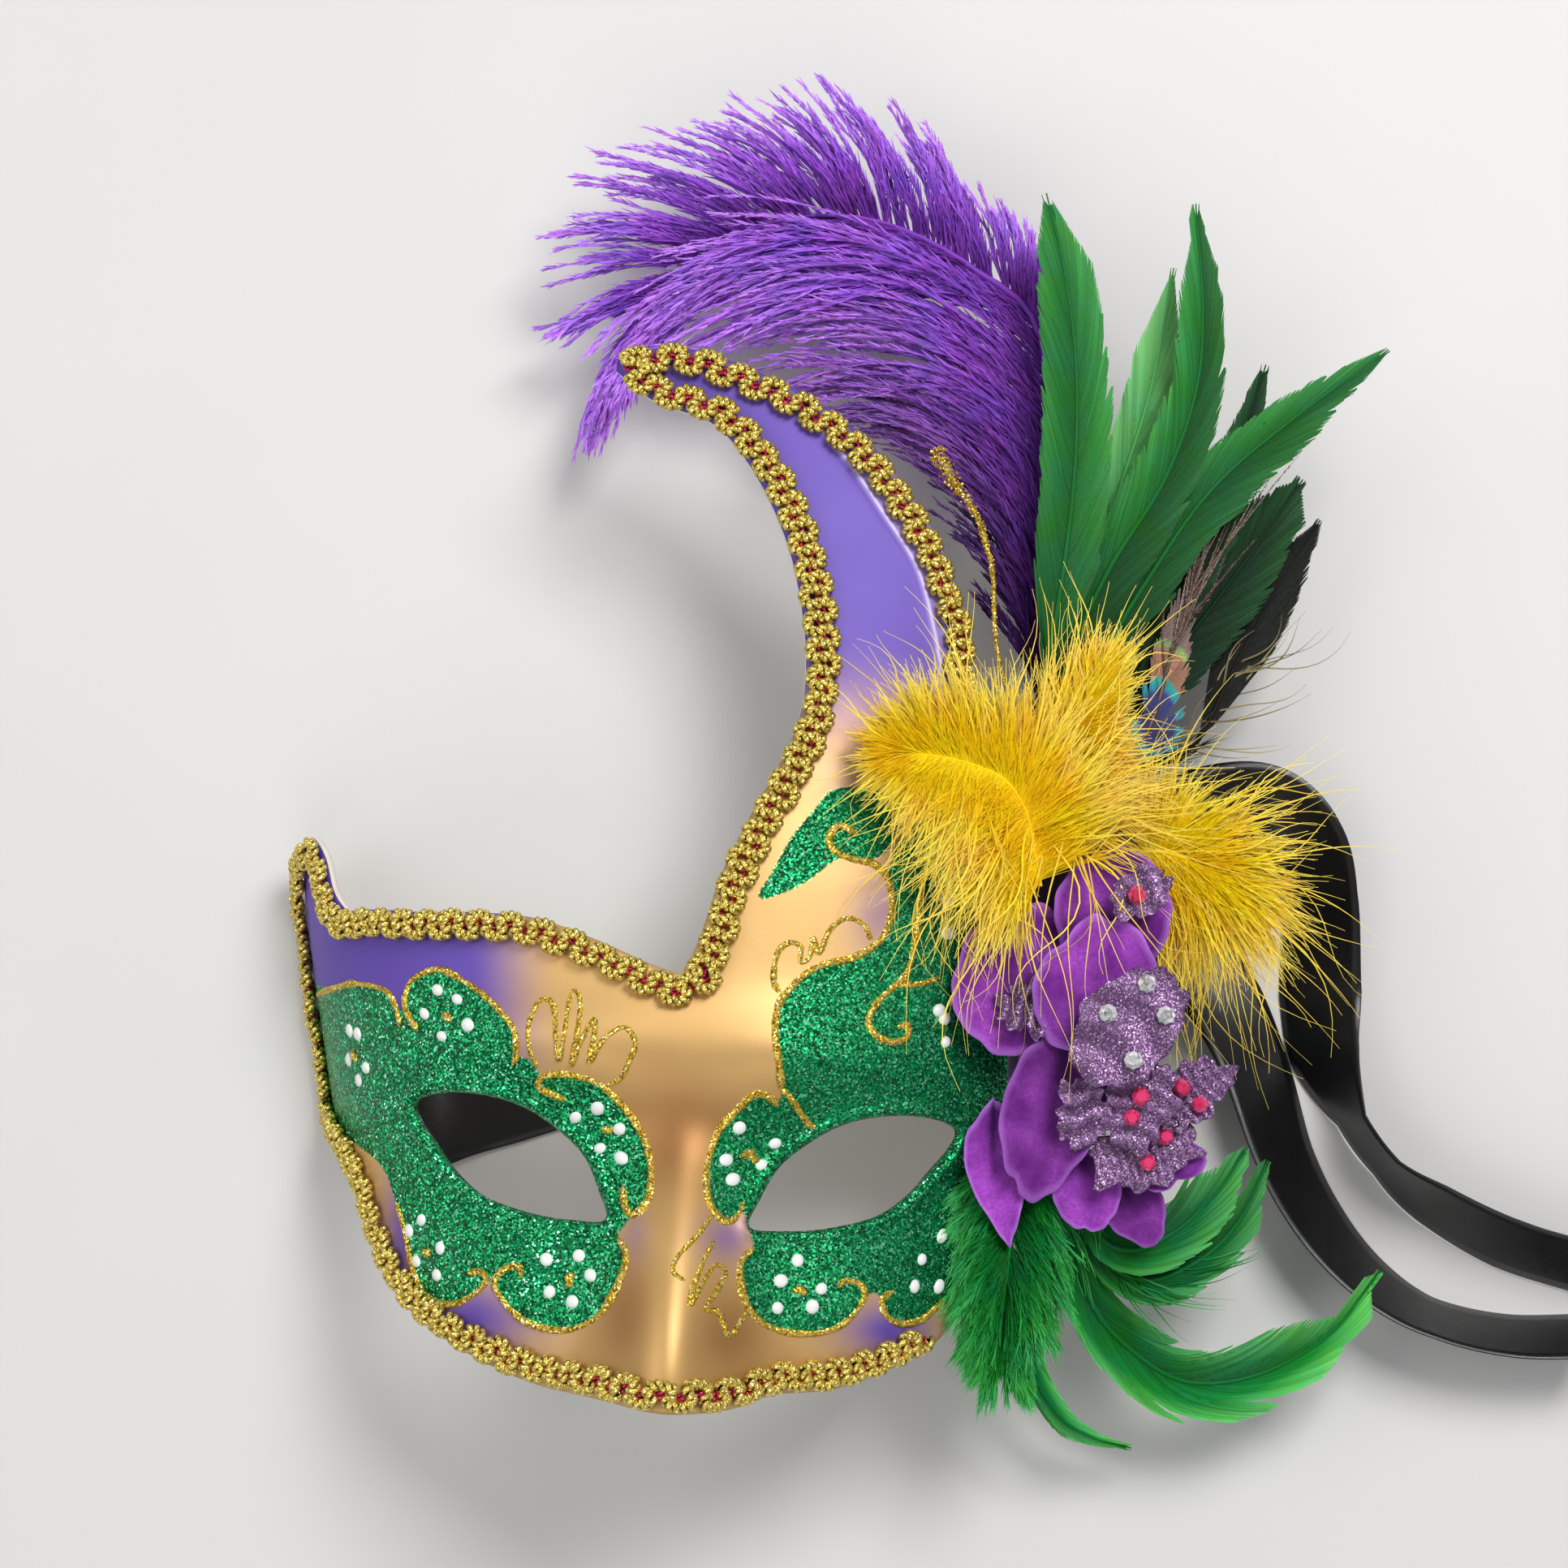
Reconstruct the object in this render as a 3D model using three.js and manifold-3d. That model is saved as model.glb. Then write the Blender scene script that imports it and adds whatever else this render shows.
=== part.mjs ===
// A feathered carnival half mask lying face up: moulded shell with a tall curled crest,
// gold braid along its edges, and a spray of feathers and a velvet flower on one temple.
// Millimetres, +Z up. The mask is drawn about its own axis (x = 0 on the nose, y = 0 on
// the eye line, z = 0 on the surface it lies on) and then moved so that the origin is the
// middle of the whole part's footprint.

import * as THREE from 'three';
import { mergeVertices } from 'three/addons/utils/BufferGeometryUtils.js';
import Module from 'manifold-3d';

const wasm = await Module();
wasm.setup();

// Place of the mask's axis in the part's frame
const FACE_AXIS = new THREE.Vector3(-29.2, -91.5, 0);

// Moulded shell
const WALL = 1.8;
const FACE_DEPTH = 58;
const CHIN_HALF_WIDTH = 72;
const TEMPLE_FLARE = 20;
const GIRTH_RADIUS = 72;
const TEMPLE_U = GIRTH_RADIUS * Math.PI / 2;
const NOSE_HEIGHT = 21;
const BROW_HEIGHT = 4.5;
const SOCKET_DEPTH = 6;
const CHEEK_HEIGHT = 4;
const CREST_LEAN = 12;
const FACE_TOP = 179;
const FACE_FOOT = -52;
const SHEET_REACH = TEMPLE_U + 5;
const SHEET_COLUMNS = 30;
const SHEET_ROWS = 21;

// Gold braid
const BRAID_WIDTH = 8.6;
const BRAID_INSET = 5.2;
const BRAID_LIFT = 0.7;
const BRAID_THICK = 2.2;
const BRAID_PITCH = 6.8;
const BRAID_SCALLOP = 0.5;

// Feathers, petals, stones and ribbon
const VANE_THICK = 1.1;
const LOCK_THICK = 1.2;
const PLUME_LOCK_HALF = 5.5;
const PUFF_LOCK_HALF = 2.6;
const PETAL_THICK = 1.1;
const STONE_GAP = 0.35;
const RIBBON_WIDTH = 19;
const RIBBON_THICK = 1.0;
const GAP = 0.4;

const COLOURS = {
  goldPaint: { color: 0xd7a55f, roughness: 0.35, metalness: 0.4 },
  braid: { color: 0xd7c35a, roughness: 0.4, metalness: 0.7 },
  plume: { color: 0x6e3cb9, roughness: 0.9, metalness: 0 },
  glitterGold: { color: 0xdcbe3c, roughness: 0.3, metalness: 0.6 },
  green: { color: 0x196e32, roughness: 0.8, metalness: 0 },
  darkGreen: { color: 0x123a24, roughness: 0.8, metalness: 0 },
  black: { color: 0x141416, roughness: 0.7, metalness: 0 },
  peacock: { color: 0x2c6a4a, roughness: 0.5, metalness: 0.2 },
  yellow: { color: 0xebbe0a, roughness: 0.9, metalness: 0 },
  lowGreen: { color: 0x007832, roughness: 0.9, metalness: 0 },
  velvet: { color: 0x873ca5, roughness: 0.9, metalness: 0 },
  glitterPurple: { color: 0x69507d, roughness: 0.4, metalness: 0.4 },
  clearStone: { color: 0xe8ecf0, roughness: 0.05, metalness: 0.1 },
  pinkStone: { color: 0xeb1e5a, roughness: 0.05, metalness: 0.1 },
  satin: { color: 0x191919, roughness: 0.35, metalness: 0 },
  felt: { color: 0x3c2850, roughness: 1, metalness: 0 },
};

const mask = new THREE.Group();
mask.position.copy(FACE_AXIS);

function addPiece(name, geometry, colour) {
  const mesh = new THREE.Mesh(geometry, new THREE.MeshStandardMaterial(COLOURS[colour]));
  mesh.name = name;
  mask.add(mesh);
}

// Small helpers

const vec = ([x, y, z = 0]) => new THREE.Vector3(x, y, z);

const spline = (points) => new THREE.CatmullRomCurve3(points.map(vec), false, 'catmullrom', 0.5);

function smoothStep(from, to, x) {
  const t = Math.min(1, Math.max(0, (x - from) / (to - from)));
  return t * t * (3 - 2 * t);
}

function hill(dx, dy, spreadX, spreadY) {
  return Math.exp(-((dx / spreadX) ** 2) - (dy / spreadY) ** 2);
}

// Value of an evenly spaced row of numbers at fraction t
function rowValue(values, t) {
  const place = Math.min(values.length - 1.000001, t * (values.length - 1));
  const index = Math.floor(place);
  return THREE.MathUtils.lerp(values[index], values[index + 1], place - index);
}

function closedGeometry(positions, indices) {
  const geometry = new THREE.BufferGeometry();
  geometry.setAttribute('position', new THREE.Float32BufferAttribute(positions, 3));
  geometry.setIndex(indices);
  if (signedVolume(geometry) < 0) {
    const flipped = [];
    for (let i = 0; i < indices.length; i += 3) {
      flipped.push(indices[i], indices[i + 2], indices[i + 1]);
    }
    geometry.setIndex(flipped);
  }
  return geometry;
}

function signedVolume(geometry) {
  const position = geometry.getAttribute('position');
  const index = geometry.getIndex();
  const [a, b, c] = [new THREE.Vector3(), new THREE.Vector3(), new THREE.Vector3()];
  let sum = 0;
  for (let i = 0; i < index.count; i += 3) {
    a.fromBufferAttribute(position, index.getX(i));
    b.fromBufferAttribute(position, index.getX(i + 1));
    c.fromBufferAttribute(position, index.getX(i + 2));
    sum += a.dot(b.cross(c));
  }
  return sum;
}

// Closed solid through rings of equal size, with flat ends
function loft(rings) {
  const size = rings[0].length;
  const positions = rings.flat().flatMap((p) => [p.x, p.y, p.z]);
  const indices = [];
  for (let r = 0; r + 1 < rings.length; r++) {
    for (let k = 0; k < size; k++) {
      const a = r * size + k;
      const b = r * size + (k + 1) % size;
      indices.push(a, b, b + size, a, b + size, a + size);
    }
  }
  const last = (rings.length - 1) * size;
  for (let k = 1; k + 1 < size; k++) {
    indices.push(0, k + 1, k, last, last + k, last + k + 1);
  }
  return closedGeometry(positions, indices);
}

function toSolid(source) {
  const bare = source.clone();
  bare.deleteAttribute('normal');
  bare.deleteAttribute('uv');
  const merged = mergeVertices(bare, 1e-4);
  return new wasm.Manifold(new wasm.Mesh({
    numProp: 3,
    vertProperties: new Float32Array(merged.getAttribute('position').array),
    triVerts: new Uint32Array(merged.getIndex().array),
  }));
}

function fromSolid(solid) {
  const { vertProperties, triVerts } = solid.getMesh();
  return closedGeometry(Array.from(vertProperties), Array.from(triVerts));
}

const fuse = (geometries) => fromSolid(geometries.map(toSolid).reduce((all, one) => all.add(one)));

// The face's outer surface, unrolled: u runs round the face from the nose, v up it

function halfWidth(v) {
  return CHIN_HALF_WIDTH + TEMPLE_FLARE * smoothStep(-45, 90, v);
}

function faceRelief(x, y) {
  const nose = smoothStep(16, -44, y);
  let height = NOSE_HEIGHT * nose * Math.exp(-((x / (9 + 6 * nose)) ** 2));
  for (const side of [-1, 1]) {
    height += BROW_HEIGHT * hill(x - side * 30, y - 24, 26, 10);
    height -= SOCKET_DEPTH * hill(x - side * 26, y - 4, 17, 13);
    height += CHEEK_HEIGHT * hill(x - side * 36, y + 27, 18, 13);
  }
  return height;
}

function faceSurface(u, v) {
  const turn = u / GIRTH_RADIUS;
  const x = halfWidth(v) * Math.sin(turn);
  const depth = FACE_DEPTH - CREST_LEAN * smoothStep(40, 170, v);
  const fade = Math.min(1, 1.6 * Math.cos(turn) ** 2);
  return new THREE.Vector3(x, v, depth * Math.cos(turn) + faceRelief(x, v) * fade);
}

function onFace(u, v, lift) {
  const step = 0.05;
  const alongU = faceSurface(u + step, v).sub(faceSurface(u - step, v));
  const alongV = faceSurface(u, v + step).sub(faceSurface(u, v - step));
  const normal = alongU.cross(alongV).normalize();
  return faceSurface(u, v).addScaledVector(normal, lift);
}

// Edges of the shell on the unrolled face, [u, v] from corner to corner
const EDGES = {
  crestInner: [[-19, 170], [-12, 163.5], [-2.5, 159.5], [3, 153], [8, 143.5], [12, 132.5], [14.5, 121],
    [16, 108], [15.5, 96], [12.5, 85], [8, 73], [4, 60.5], [1, 47], [-1.7, 39.6]],
  brow: [[-1.7, 39.6], [-7, 41.2], [-17, 45.9], [-28, 49.9], [-40, 50.9], [-52, 50.9], [-64, 51.6], [-75, 51.5]],
  horn: [[-75, 51.5], [-80, 56], [-83.5, 64], [-91, 68.5], [-100, 66.5], [-108, 61], [-TEMPLE_U, 53]],
  restLeft: [[-TEMPLE_U, 53], [-TEMPLE_U, 8]],
  side: [[-TEMPLE_U, 8], [-106, 3.5], [-94, -1], [-84, -8], [-78, -17.5], [-72, -25], [-66, -30.5], [-58, -35]],
  bottom: [[-58, -35], [-43, -41], [-28, -45.5], [-13, -47.5], [0, -49], [13, -48], [22, -45], [34, -43.7],
    [45, -40.5], [58, -35.5], [66, -30.5]],
  right: [[66, -30.5], [72, -25], [78, -17.5], [84, -8], [94, -1], [106, 3.5], [TEMPLE_U, 8]],
  restRight: [[TEMPLE_U, 8], [TEMPLE_U, 53]],
  crestOuter: [[TEMPLE_U, 53], [106, 58], [92, 65], [74, 73], [59, 84], [50, 95], [47.3, 106], [46.5, 117], [42.6, 128.5],
    [38, 139], [32, 148.5], [24.5, 158], [14, 166.5], [3, 172], [-6, 175.3], [-14, 175], [-18.5, 173], [-19, 170]],
};

// Half of an eye hole's edge is mirrored for the other eye
const EYE_EDGE = [[14.3, -11.4], [16, -5.5], [19, 1], [24, 6], [31, 10.5], [40, 12.8], [50, 13], [58.3, 11],
  [57.5, 7], [53.5, 2.5], [48.5, -3], [41, -7.8], [30, -10.9], [21, -11.9]];

function edgePoints(edge, spacing) {
  const curve = spline(EDGES[edge]);
  const count = Math.max(1, Math.round(curve.getLength() / spacing));
  return curve.getSpacedPoints(count);
}

// The sheet is cut while nearly flat, on a shallow dome, and then wrapped onto the face
const DOME = 2000;
const domeHeight = (u, v) => (u * u + v * v) / DOME;

function flatSheet(low, high) {
  const box = new THREE.BoxGeometry(2, FACE_TOP - FACE_FOOT, 1, SHEET_COLUMNS, SHEET_ROWS, 1);
  const position = box.getAttribute('position');
  for (let i = 0; i < position.count; i++) {
    const across = position.getX(i);
    const u = SHEET_REACH * across * (0.7 + 0.3 * across * across);
    const v = position.getY(i) + (FACE_TOP + FACE_FOOT) / 2;
    const lift = position.getZ(i) < 0 ? low : high;
    position.setXYZ(i, u, v, lift + domeHeight(u, v));
  }
  return box;
}

function cutter(points) {
  const shape = new THREE.Shape(points.map((p) => new THREE.Vector2(p.x, p.y)));
  const block = new THREE.ExtrudeGeometry(shape, { depth: 80, bevelEnabled: false });
  block.translate(0, 0, -30);
  return toSolid(block);
}

function wrapOnFace(geometry) {
  const position = geometry.getAttribute('position');
  for (let i = 0; i < position.count; i++) {
    const [u, v] = [position.getX(i), position.getY(i)];
    const place = onFace(u, v, position.getZ(i) - domeHeight(u, v));
    position.setXYZ(i, place.x, place.y, place.z);
  }
  return geometry;
}

function eyeCutter(side) {
  const curve = new THREE.CatmullRomCurve3(EYE_EDGE.map(([u, v]) => vec([side * u, v])), true, 'catmullrom', 0.5);
  return cutter(curve.getSpacedPoints(24));
}

function maskShell() {
  const outline = Object.keys(EDGES).flatMap((edge) => edgePoints(edge, 6.5).slice(0, -1));
  let sheet = toSolid(flatSheet(-WALL, 0)).intersect(cutter(outline));
  for (const side of [-1, 1]) {
    sheet = sheet.subtract(eyeCutter(side));
  }
  return wrapOnFace(fromSolid(sheet));
}

addPiece('mask_shell', maskShell(), 'goldPaint');

// Braid: a scalloped strip that follows an edge, from and to given as lengths along it
const BRAID_RUNS = [
  { name: 'braid_crest_inner', edges: ['crestInner'], from: 31, to: 0.5 },
  { name: 'braid_brow', edges: ['brow', 'horn'], from: 5.6, to: 37 },
  { name: 'braid_side', edges: ['horn', 'restLeft', 'side', 'bottom'], from: 31, to: 21 },
  { name: 'braid_crest_outer', edges: ['crestOuter'], from: 74, to: 4 },
];

function braid({ edges, from, to }) {
  const edge = spline(edges.flatMap((name, i) => EDGES[name].slice(i ? 1 : 0)));
  const length = edge.getLength();
  const half = BRAID_PITCH / 2;
  const count = Math.floor((length - from - to) / half);
  const rings = [];
  for (let i = 0; i <= count; i++) {
    const t = (from + i * half) / length;
    const point = edge.getPointAt(t);
    const along = edge.getTangentAt(t);
    const inward = new THREE.Vector2(-along.y, along.x);
    const wide = BRAID_WIDTH / 2 + (i % 2 ? -BRAID_SCALLOP : 0);
    const section = [[-wide, 0], [wide, 0], [wide * 0.7, BRAID_THICK], [-wide * 0.7, BRAID_THICK]];
    rings.push(section.map(([across, lift]) => {
      const u = point.x + inward.x * (BRAID_INSET + across);
      const v = point.y + inward.y * (BRAID_INSET + across);
      return onFace(u, v, BRAID_LIFT + lift);
    }));
  }
  return loft(rings);
}

for (const run of BRAID_RUNS) {
  addPiece(run.name, braid(run), 'braid');
}

// Felt pad on the temple that carries the flower and the feather quills
const PAD = { left: 67, right: 90, foot: 14, top: 89, under: 35, over: 41, corner: 8 };

function feltPad() {
  const { left, right, foot, top, under, over, corner } = PAD;
  const shape = new THREE.Shape();
  shape.moveTo(left + corner, foot);
  shape.lineTo(right - corner, foot);
  shape.quadraticCurveTo(right, foot, right, foot + corner);
  shape.lineTo(right, top);
  shape.lineTo(left, top);
  shape.lineTo(left, foot + corner);
  shape.quadraticCurveTo(left, foot, left + corner, foot);
  const block = new THREE.ExtrudeGeometry(shape, { depth: over - under, bevelEnabled: false, curveSegments: 3 });
  block.translate(0, 0, under);
  const clearance = toSolid(wrapOnFace(flatSheet(-6, GAP)));
  return fromSolid(toSolid(block).subtract(clearance));
}

addPiece('felt_pad', feltPad(), 'felt');

// Feather vanes: spine points from quill to tip and half widths along them
const VANES = [
  { name: 'green_feather_1', colour: 'green', halves: [0.7, 1, 1.5, 6.6, 7.2, 7, 5.5, 0.5],
    spine: [[72, 80, 44.5], [70, 99, 46], [73, 121, 46.5], [75.5, 150, 46.5], [75, 175, 46.5], [71.5, 197, 46.5],
      [67, 214, 46]] },
  { name: 'green_feather_2', colour: 'green', halves: [0.7, 1, 4, 6.2, 6, 5, 4.4, 0.5],
    spine: [[78, 82, 42.2], [75, 106, 43], [83, 130, 43.5], [95, 152, 44.5], [101, 172, 46], [101.5, 190, 48],
      [99, 212, 50]] },
  { name: 'green_feather_3', colour: 'green', halves: [0.7, 1.4, 4, 5, 4.6, 0.5],
    spine: [[73, 90, 38.6], [76, 115, 38.6], [86, 151, 38.6], [92, 174, 38.6], [96, 201, 38.6]] },
  { name: 'green_feather_4', colour: 'green', halves: [0.7, 1.2, 4.5, 6, 4, 0.5],
    spine: [[83, 84, 42.2], [84, 112, 41], [95, 135, 40.8], [107, 153, 40.6], [124, 169, 40.6], [143, 184.5, 40.6]] },
  { name: 'dark_feather_1', colour: 'darkGreen', halves: [0.7, 1, 3.6, 4.6, 3.6, 0.5],
    spine: [[82, 90, 37], [97, 122, 32.8], [108, 146, 32.4], [117.6, 182, 32.4]] },
  { name: 'dark_feather_2', colour: 'darkGreen', halves: [0.7, 2, 6, 8, 7.4, 2],
    spine: [[85, 90, 36.6], [96, 110, 30.4], [112, 134, 29], [127, 157.5, 29]] },
  { name: 'black_feather', colour: 'black', halves: [0.7, 2, 5, 6, 5, 0.6],
    spine: [[88, 90, 36.2], [104, 96, 28], [115, 118, 25], [124, 136, 23], [132, 150, 23]] },
  { name: 'peacock_feather', colour: 'peacock', halves: [0.7, 5, 7, 6.2, 5, 2],
    spine: [[79, 90, 38.4], [95, 103, 36], [99, 116, 35.4], [105, 136, 35.2], [112, 154, 35]] },
  { name: 'gold_sprig', colour: 'glitterGold', halves: [0.7, 0.8, 0.9, 1.2, 2.6, 1.6],
    spine: [[68.5, 92, 42.6], [61, 112, 45], [59, 130, 45], [55, 142, 45], [50, 149, 45], [46, 155, 45]] },
  { name: 'green_hackle_1', colour: 'lowGreen', halves: [0.7, 2, 5, 6.4, 5, 0.6],
    spine: [[84, 13, 38], [88, -8, 35], [97, -13, 33], [107, -7, 32], [115, 2, 31], [121, 11, 30]] },
  { name: 'green_hackle_2', colour: 'lowGreen', halves: [0.7, 1.5, 3.6, 5, 5.6, 5.2, 4, 0.5],
    spine: [[80, 13, 38], [83, -10, 34], [88, -24, 30], [97, -33, 26], [109, -39, 22.5], [124, -37, 21], [139, -28, 21],
      [150, -13.5, 21.5]] },
  { name: 'green_hackle_3', colour: 'lowGreen', halves: [0.7, 1.4, 2.4, 2.8, 2.4, 0.5],
    spine: [[76, 13, 38], [76, -12, 31.5], [75, -34, 25], [82, -47, 20], [90, -52, 16], [99, -54, 13]] },
];

// One ring across a blade: two edges and a low ridge above and below the quill
function bladeRing(centre, along, half, thick) {
  const across = new THREE.Vector3(0, 0, 1).cross(along).normalize();
  const up = along.clone().cross(across).normalize();
  return [[half, 0], [0, thick / 2], [-half, 0], [0, -thick / 2]].map(([side, rise]) => (
    centre.clone().addScaledVector(across, side).addScaledVector(up, rise)));
}

function vane({ spine, halves }) {
  const curve = spline(spine);
  const count = 2 * spine.length;
  const rings = [];
  for (let i = 0; i <= count; i++) {
    const t = i / count;
    rings.push(bladeRing(curve.getPointAt(t), curve.getTangentAt(t), rowValue(halves, t), VANE_THICK));
  }
  return loft(rings);
}

for (const row of VANES) {
  addPiece(row.name, vane(row), row.colour);
}

// Locks: a curved blade from a root, heading along a direction and drooping to its tip
function lock(root, heading, length, half, droop, thick) {
  const rings = [];
  for (const t of [0, 0.45, 1]) {
    const centre = root.clone().addScaledVector(heading, length * t);
    centre.z -= droop * t * t;
    const along = heading.clone();
    along.z -= 2 * droop * t / length;
    rings.push(bladeRing(centre, along.normalize(), half * (t === 1 ? 0.15 : 1 - 0.35 * t), thick * (1 - 0.5 * t)));
  }
  return loft(rings);
}

// Ostrich plume: quill with long locks on both sides, its tip drooping to the surface
const PLUME = {
  spine: [[70, 90.5, 37.5], [72, 116, 35], [71.5, 160, 33.5], [66, 190, 32], [54, 202, 31], [38, 211, 30],
    [17.5, 216, 28], [-2, 214, 25], [-18, 206, 21], [-28, 197, 17]],
  quillHalf: [1.6, 1.5, 1.3, 1, 0.7],
  outerReach: [0, 0, 0, 8, 22, 30, 31, 29, 26, 22],
  innerReach: [4, 22, 30, 36, 42, 42, 38, 36, 34, 30],
  locks: 15,
};

function ostrichPlume() {
  const curve = spline(PLUME.spine);
  const rings = [];
  for (let i = 0; i <= 16; i++) {
    const t = i / 16;
    const half = rowValue(PLUME.quillHalf, t);
    rings.push(bladeRing(curve.getPointAt(t), curve.getTangentAt(t), half, 2 * half));
  }
  const pieces = [loft(rings)];
  for (let i = 0; i < PLUME.locks; i++) {
    const t = 0.13 + 0.86 * i / (PLUME.locks - 1);
    const root = curve.getPointAt(t);
    const along = curve.getTangentAt(t).setZ(0).normalize();
    for (const [side, reaches] of [[-1, PLUME.outerReach], [1, PLUME.innerReach]]) {
      const reach = rowValue(reaches, t) * (i % 2 ? 0.88 : 1);
      if (reach > 6) {
        const turn = side * THREE.MathUtils.lerp(1.1, 0.5, t);
        const heading = along.clone().applyAxisAngle(new THREE.Vector3(0, 0, 1), turn);
        const droop = Math.min(0.3 * reach, root.z - 2.5);
        pieces.push(lock(root, heading, reach, PLUME_LOCK_HALF, droop, LOCK_THICK));
      }
    }
  }
  return fuse(pieces);
}

addPiece('ostrich_plume', ostrichPlume(), 'plume');

// Marabou puffs: a short soft core with locks fanned about it
// fan gives the first and last heading in degrees, counted from +X towards +Y
const PUFFS = [
  { name: 'yellow_marabou_1', colour: 'yellow', core: [[42, 88, 57.5], [54, 87, 57], [66, 83, 56], [74, 78, 55]],
    half: 12, thick: 6, fan: [70, 236], reach: [28, 34, 40, 38, 30, 22], locks: 13, rise: 0.04 },
  { name: 'yellow_marabou_2', colour: 'yellow', core: [[74, 86, 51.5], [79, 96, 52], [83, 106, 52]],
    half: 9, thick: 4.5, fan: [-40, 130], reach: [24, 28, 30, 28, 24], locks: 11, rise: 0.06 },
  { name: 'yellow_marabou_3', colour: 'yellow', core: [[92, 69, 37], [105, 70, 37], [117, 66, 36]],
    half: 10, thick: 4.5, fan: [-100, 38], reach: [24, 30, 34, 34, 26], locks: 12, rise: -0.08 },
  { name: 'green_marabou', colour: 'lowGreen', core: [[71, 11, 37], [70, -9, 38.8], [69.5, -24, 40], [70, -38, 36]],
    half: 7, thick: 4, fan: [-150, -30], reach: [17, 17, 17, 16, 15, 13], locks: 11, rise: 0.05 },
];

function puff({ core, half, thick, fan, reach, locks, rise }) {
  const curve = spline(core);
  const rings = [];
  for (let i = 0; i <= 6; i++) {
    const t = i / 6;
    const fullness = Math.sqrt(Math.max(0.03, 4 * t * (1 - t)));
    rings.push(bladeRing(curve.getPointAt(t), curve.getTangentAt(t), half * fullness, thick * fullness));
  }
  const pieces = [loft(rings)];
  for (let i = 0; i < locks; i++) {
    const share = i / (locks - 1);
    const root = curve.getPointAt(0.08 + 0.84 * ((i * 0.618) % 1));
    const angle = THREE.MathUtils.degToRad(THREE.MathUtils.lerp(fan[0], fan[1], share));
    const lift = rise + 0.12 * ((i * 0.382) % 1);
    const heading = new THREE.Vector3(Math.cos(angle), Math.sin(angle), lift).normalize();
    const length = rowValue(reach, share) * (0.8 + 0.2 * ((i * 0.71) % 1));
    pieces.push(lock(root, heading, length, PUFF_LOCK_HALF, 0, LOCK_THICK));
  }
  return fuse(pieces);
}

for (const row of PUFFS) {
  addPiece(row.name, puff(row), row.colour);
}

// Petals: root and tip of each, its greatest width, how far its sides cup up and its middle arches
const PETALS = [
  { name: 'petal_1', root: [86, 46, 47], tip: [88.5, 72, 50], width: 25, cup: 1.6, arch: 1 },
  { name: 'petal_2', root: [78, 40, 43.2], tip: [55, 47, 49], width: 33, cup: 1.2, arch: 1.5 },
  { name: 'petal_3', root: [81, 28, 49], tip: [87.5, 57, 52.5], width: 26, cup: 1.4, arch: 1 },
  { name: 'petal_4', root: [80, 32, 46.3], tip: [72, -3, 46.3], width: 21, cup: 1.6, arch: 0.6 },
  { name: 'petal_5', root: [66, 18, 42], tip: [66, -13, 43.4], width: 12, cup: 0.8, arch: 0.6 },
  { name: 'petal_6', root: [83, 8, 43], tip: [86, -9, 43], width: 15, cup: 0.8, arch: 0.6 },
  { name: 'petal_7', root: [91, 4, 40.2], tip: [99, -11, 40.4], width: 13, cup: 0.6, arch: 0.5 },
  { name: 'petal_8', root: [94, 4, 45], tip: [109, 8.5, 45.5], width: 10, cup: 0.8, arch: 0.5 },
  { name: 'glitter_petal_1', root: [82, 23, 55], tip: [100, 45, 56], width: 20, cup: 0.8, arch: 0.8 },
  { name: 'glitter_petal_2', root: [83, 9, 50.3], tip: [81.5, 22.5, 51.3], width: 8, cup: 0.4, arch: 0.5 },
  { name: 'glitter_petal_3', root: [93, 10, 50.5], tip: [95.5, 23, 51.5], width: 11, cup: 0.4, arch: 0.5 },
  { name: 'glitter_petal_4', root: [99, 16, 48], tip: [112, 27, 49], width: 11, cup: 0.4, arch: 0.5 },
  { name: 'glitter_petal_5', root: [90, 7, 47.2], tip: [107, 13, 47.4], width: 9, cup: 0.4, arch: 0.4 },
  { name: 'glitter_petal_6', root: [87, 57.5, 55.5], tip: [98, 66, 54.5], width: 10, cup: 0.4, arch: 0.5 },
];

// A petal's middle surface: s from root to tip, q from side to side
function petalPoint({ root, tip, width, cup, arch }, s, q) {
  const [from, to] = [vec(root), vec(tip)];
  const along = to.clone().sub(from).setZ(0).normalize();
  const across = new THREE.Vector3(-along.y, along.x, 0);
  const spread = 0.12 + 0.88 * Math.sin(Math.PI * s ** 0.8) ** 0.7;
  const place = from.lerp(to, s).addScaledVector(across, q * spread * width / 2);
  place.z += arch * Math.sin(Math.PI * s) + cup * (q * spread) ** 2;
  return place;
}

function petal(row) {
  const small = row.width < 14;
  const rows = small ? 5 : 7;
  const columns = small ? 3 : 4;
  const rings = [];
  for (let i = 0; i <= rows; i++) {
    const ring = [];
    for (let k = 0; k <= columns; k++) {
      ring.push(petalPoint(row, i / rows, 2 * k / columns - 1));
    }
    const under = ring.map((p) => p.clone().setZ(p.z - PETAL_THICK)).reverse();
    rings.push([...ring, ...under]);
  }
  return petalSolid(rings, columns + 1);
}

// Petal ends are closed by a strip between the upper and the lower edge
function petalSolid(rings, wide) {
  const size = rings[0].length;
  const positions = rings.flat().flatMap((p) => [p.x, p.y, p.z]);
  const indices = [];
  for (let r = 0; r + 1 < rings.length; r++) {
    for (let k = 0; k < size; k++) {
      const a = r * size + k;
      const b = r * size + (k + 1) % size;
      indices.push(a, b, b + size, a, b + size, a + size);
    }
  }
  const last = (rings.length - 1) * size;
  for (let k = 0; k + 1 < wide; k++) {
    const [a, b, c, d] = [k, k + 1, size - 2 - k, size - 1 - k];
    indices.push(a, c, b, a, d, c);
    indices.push(last + a, last + b, last + c, last + a, last + c, last + d);
  }
  return closedGeometry(positions, indices);
}

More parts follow.
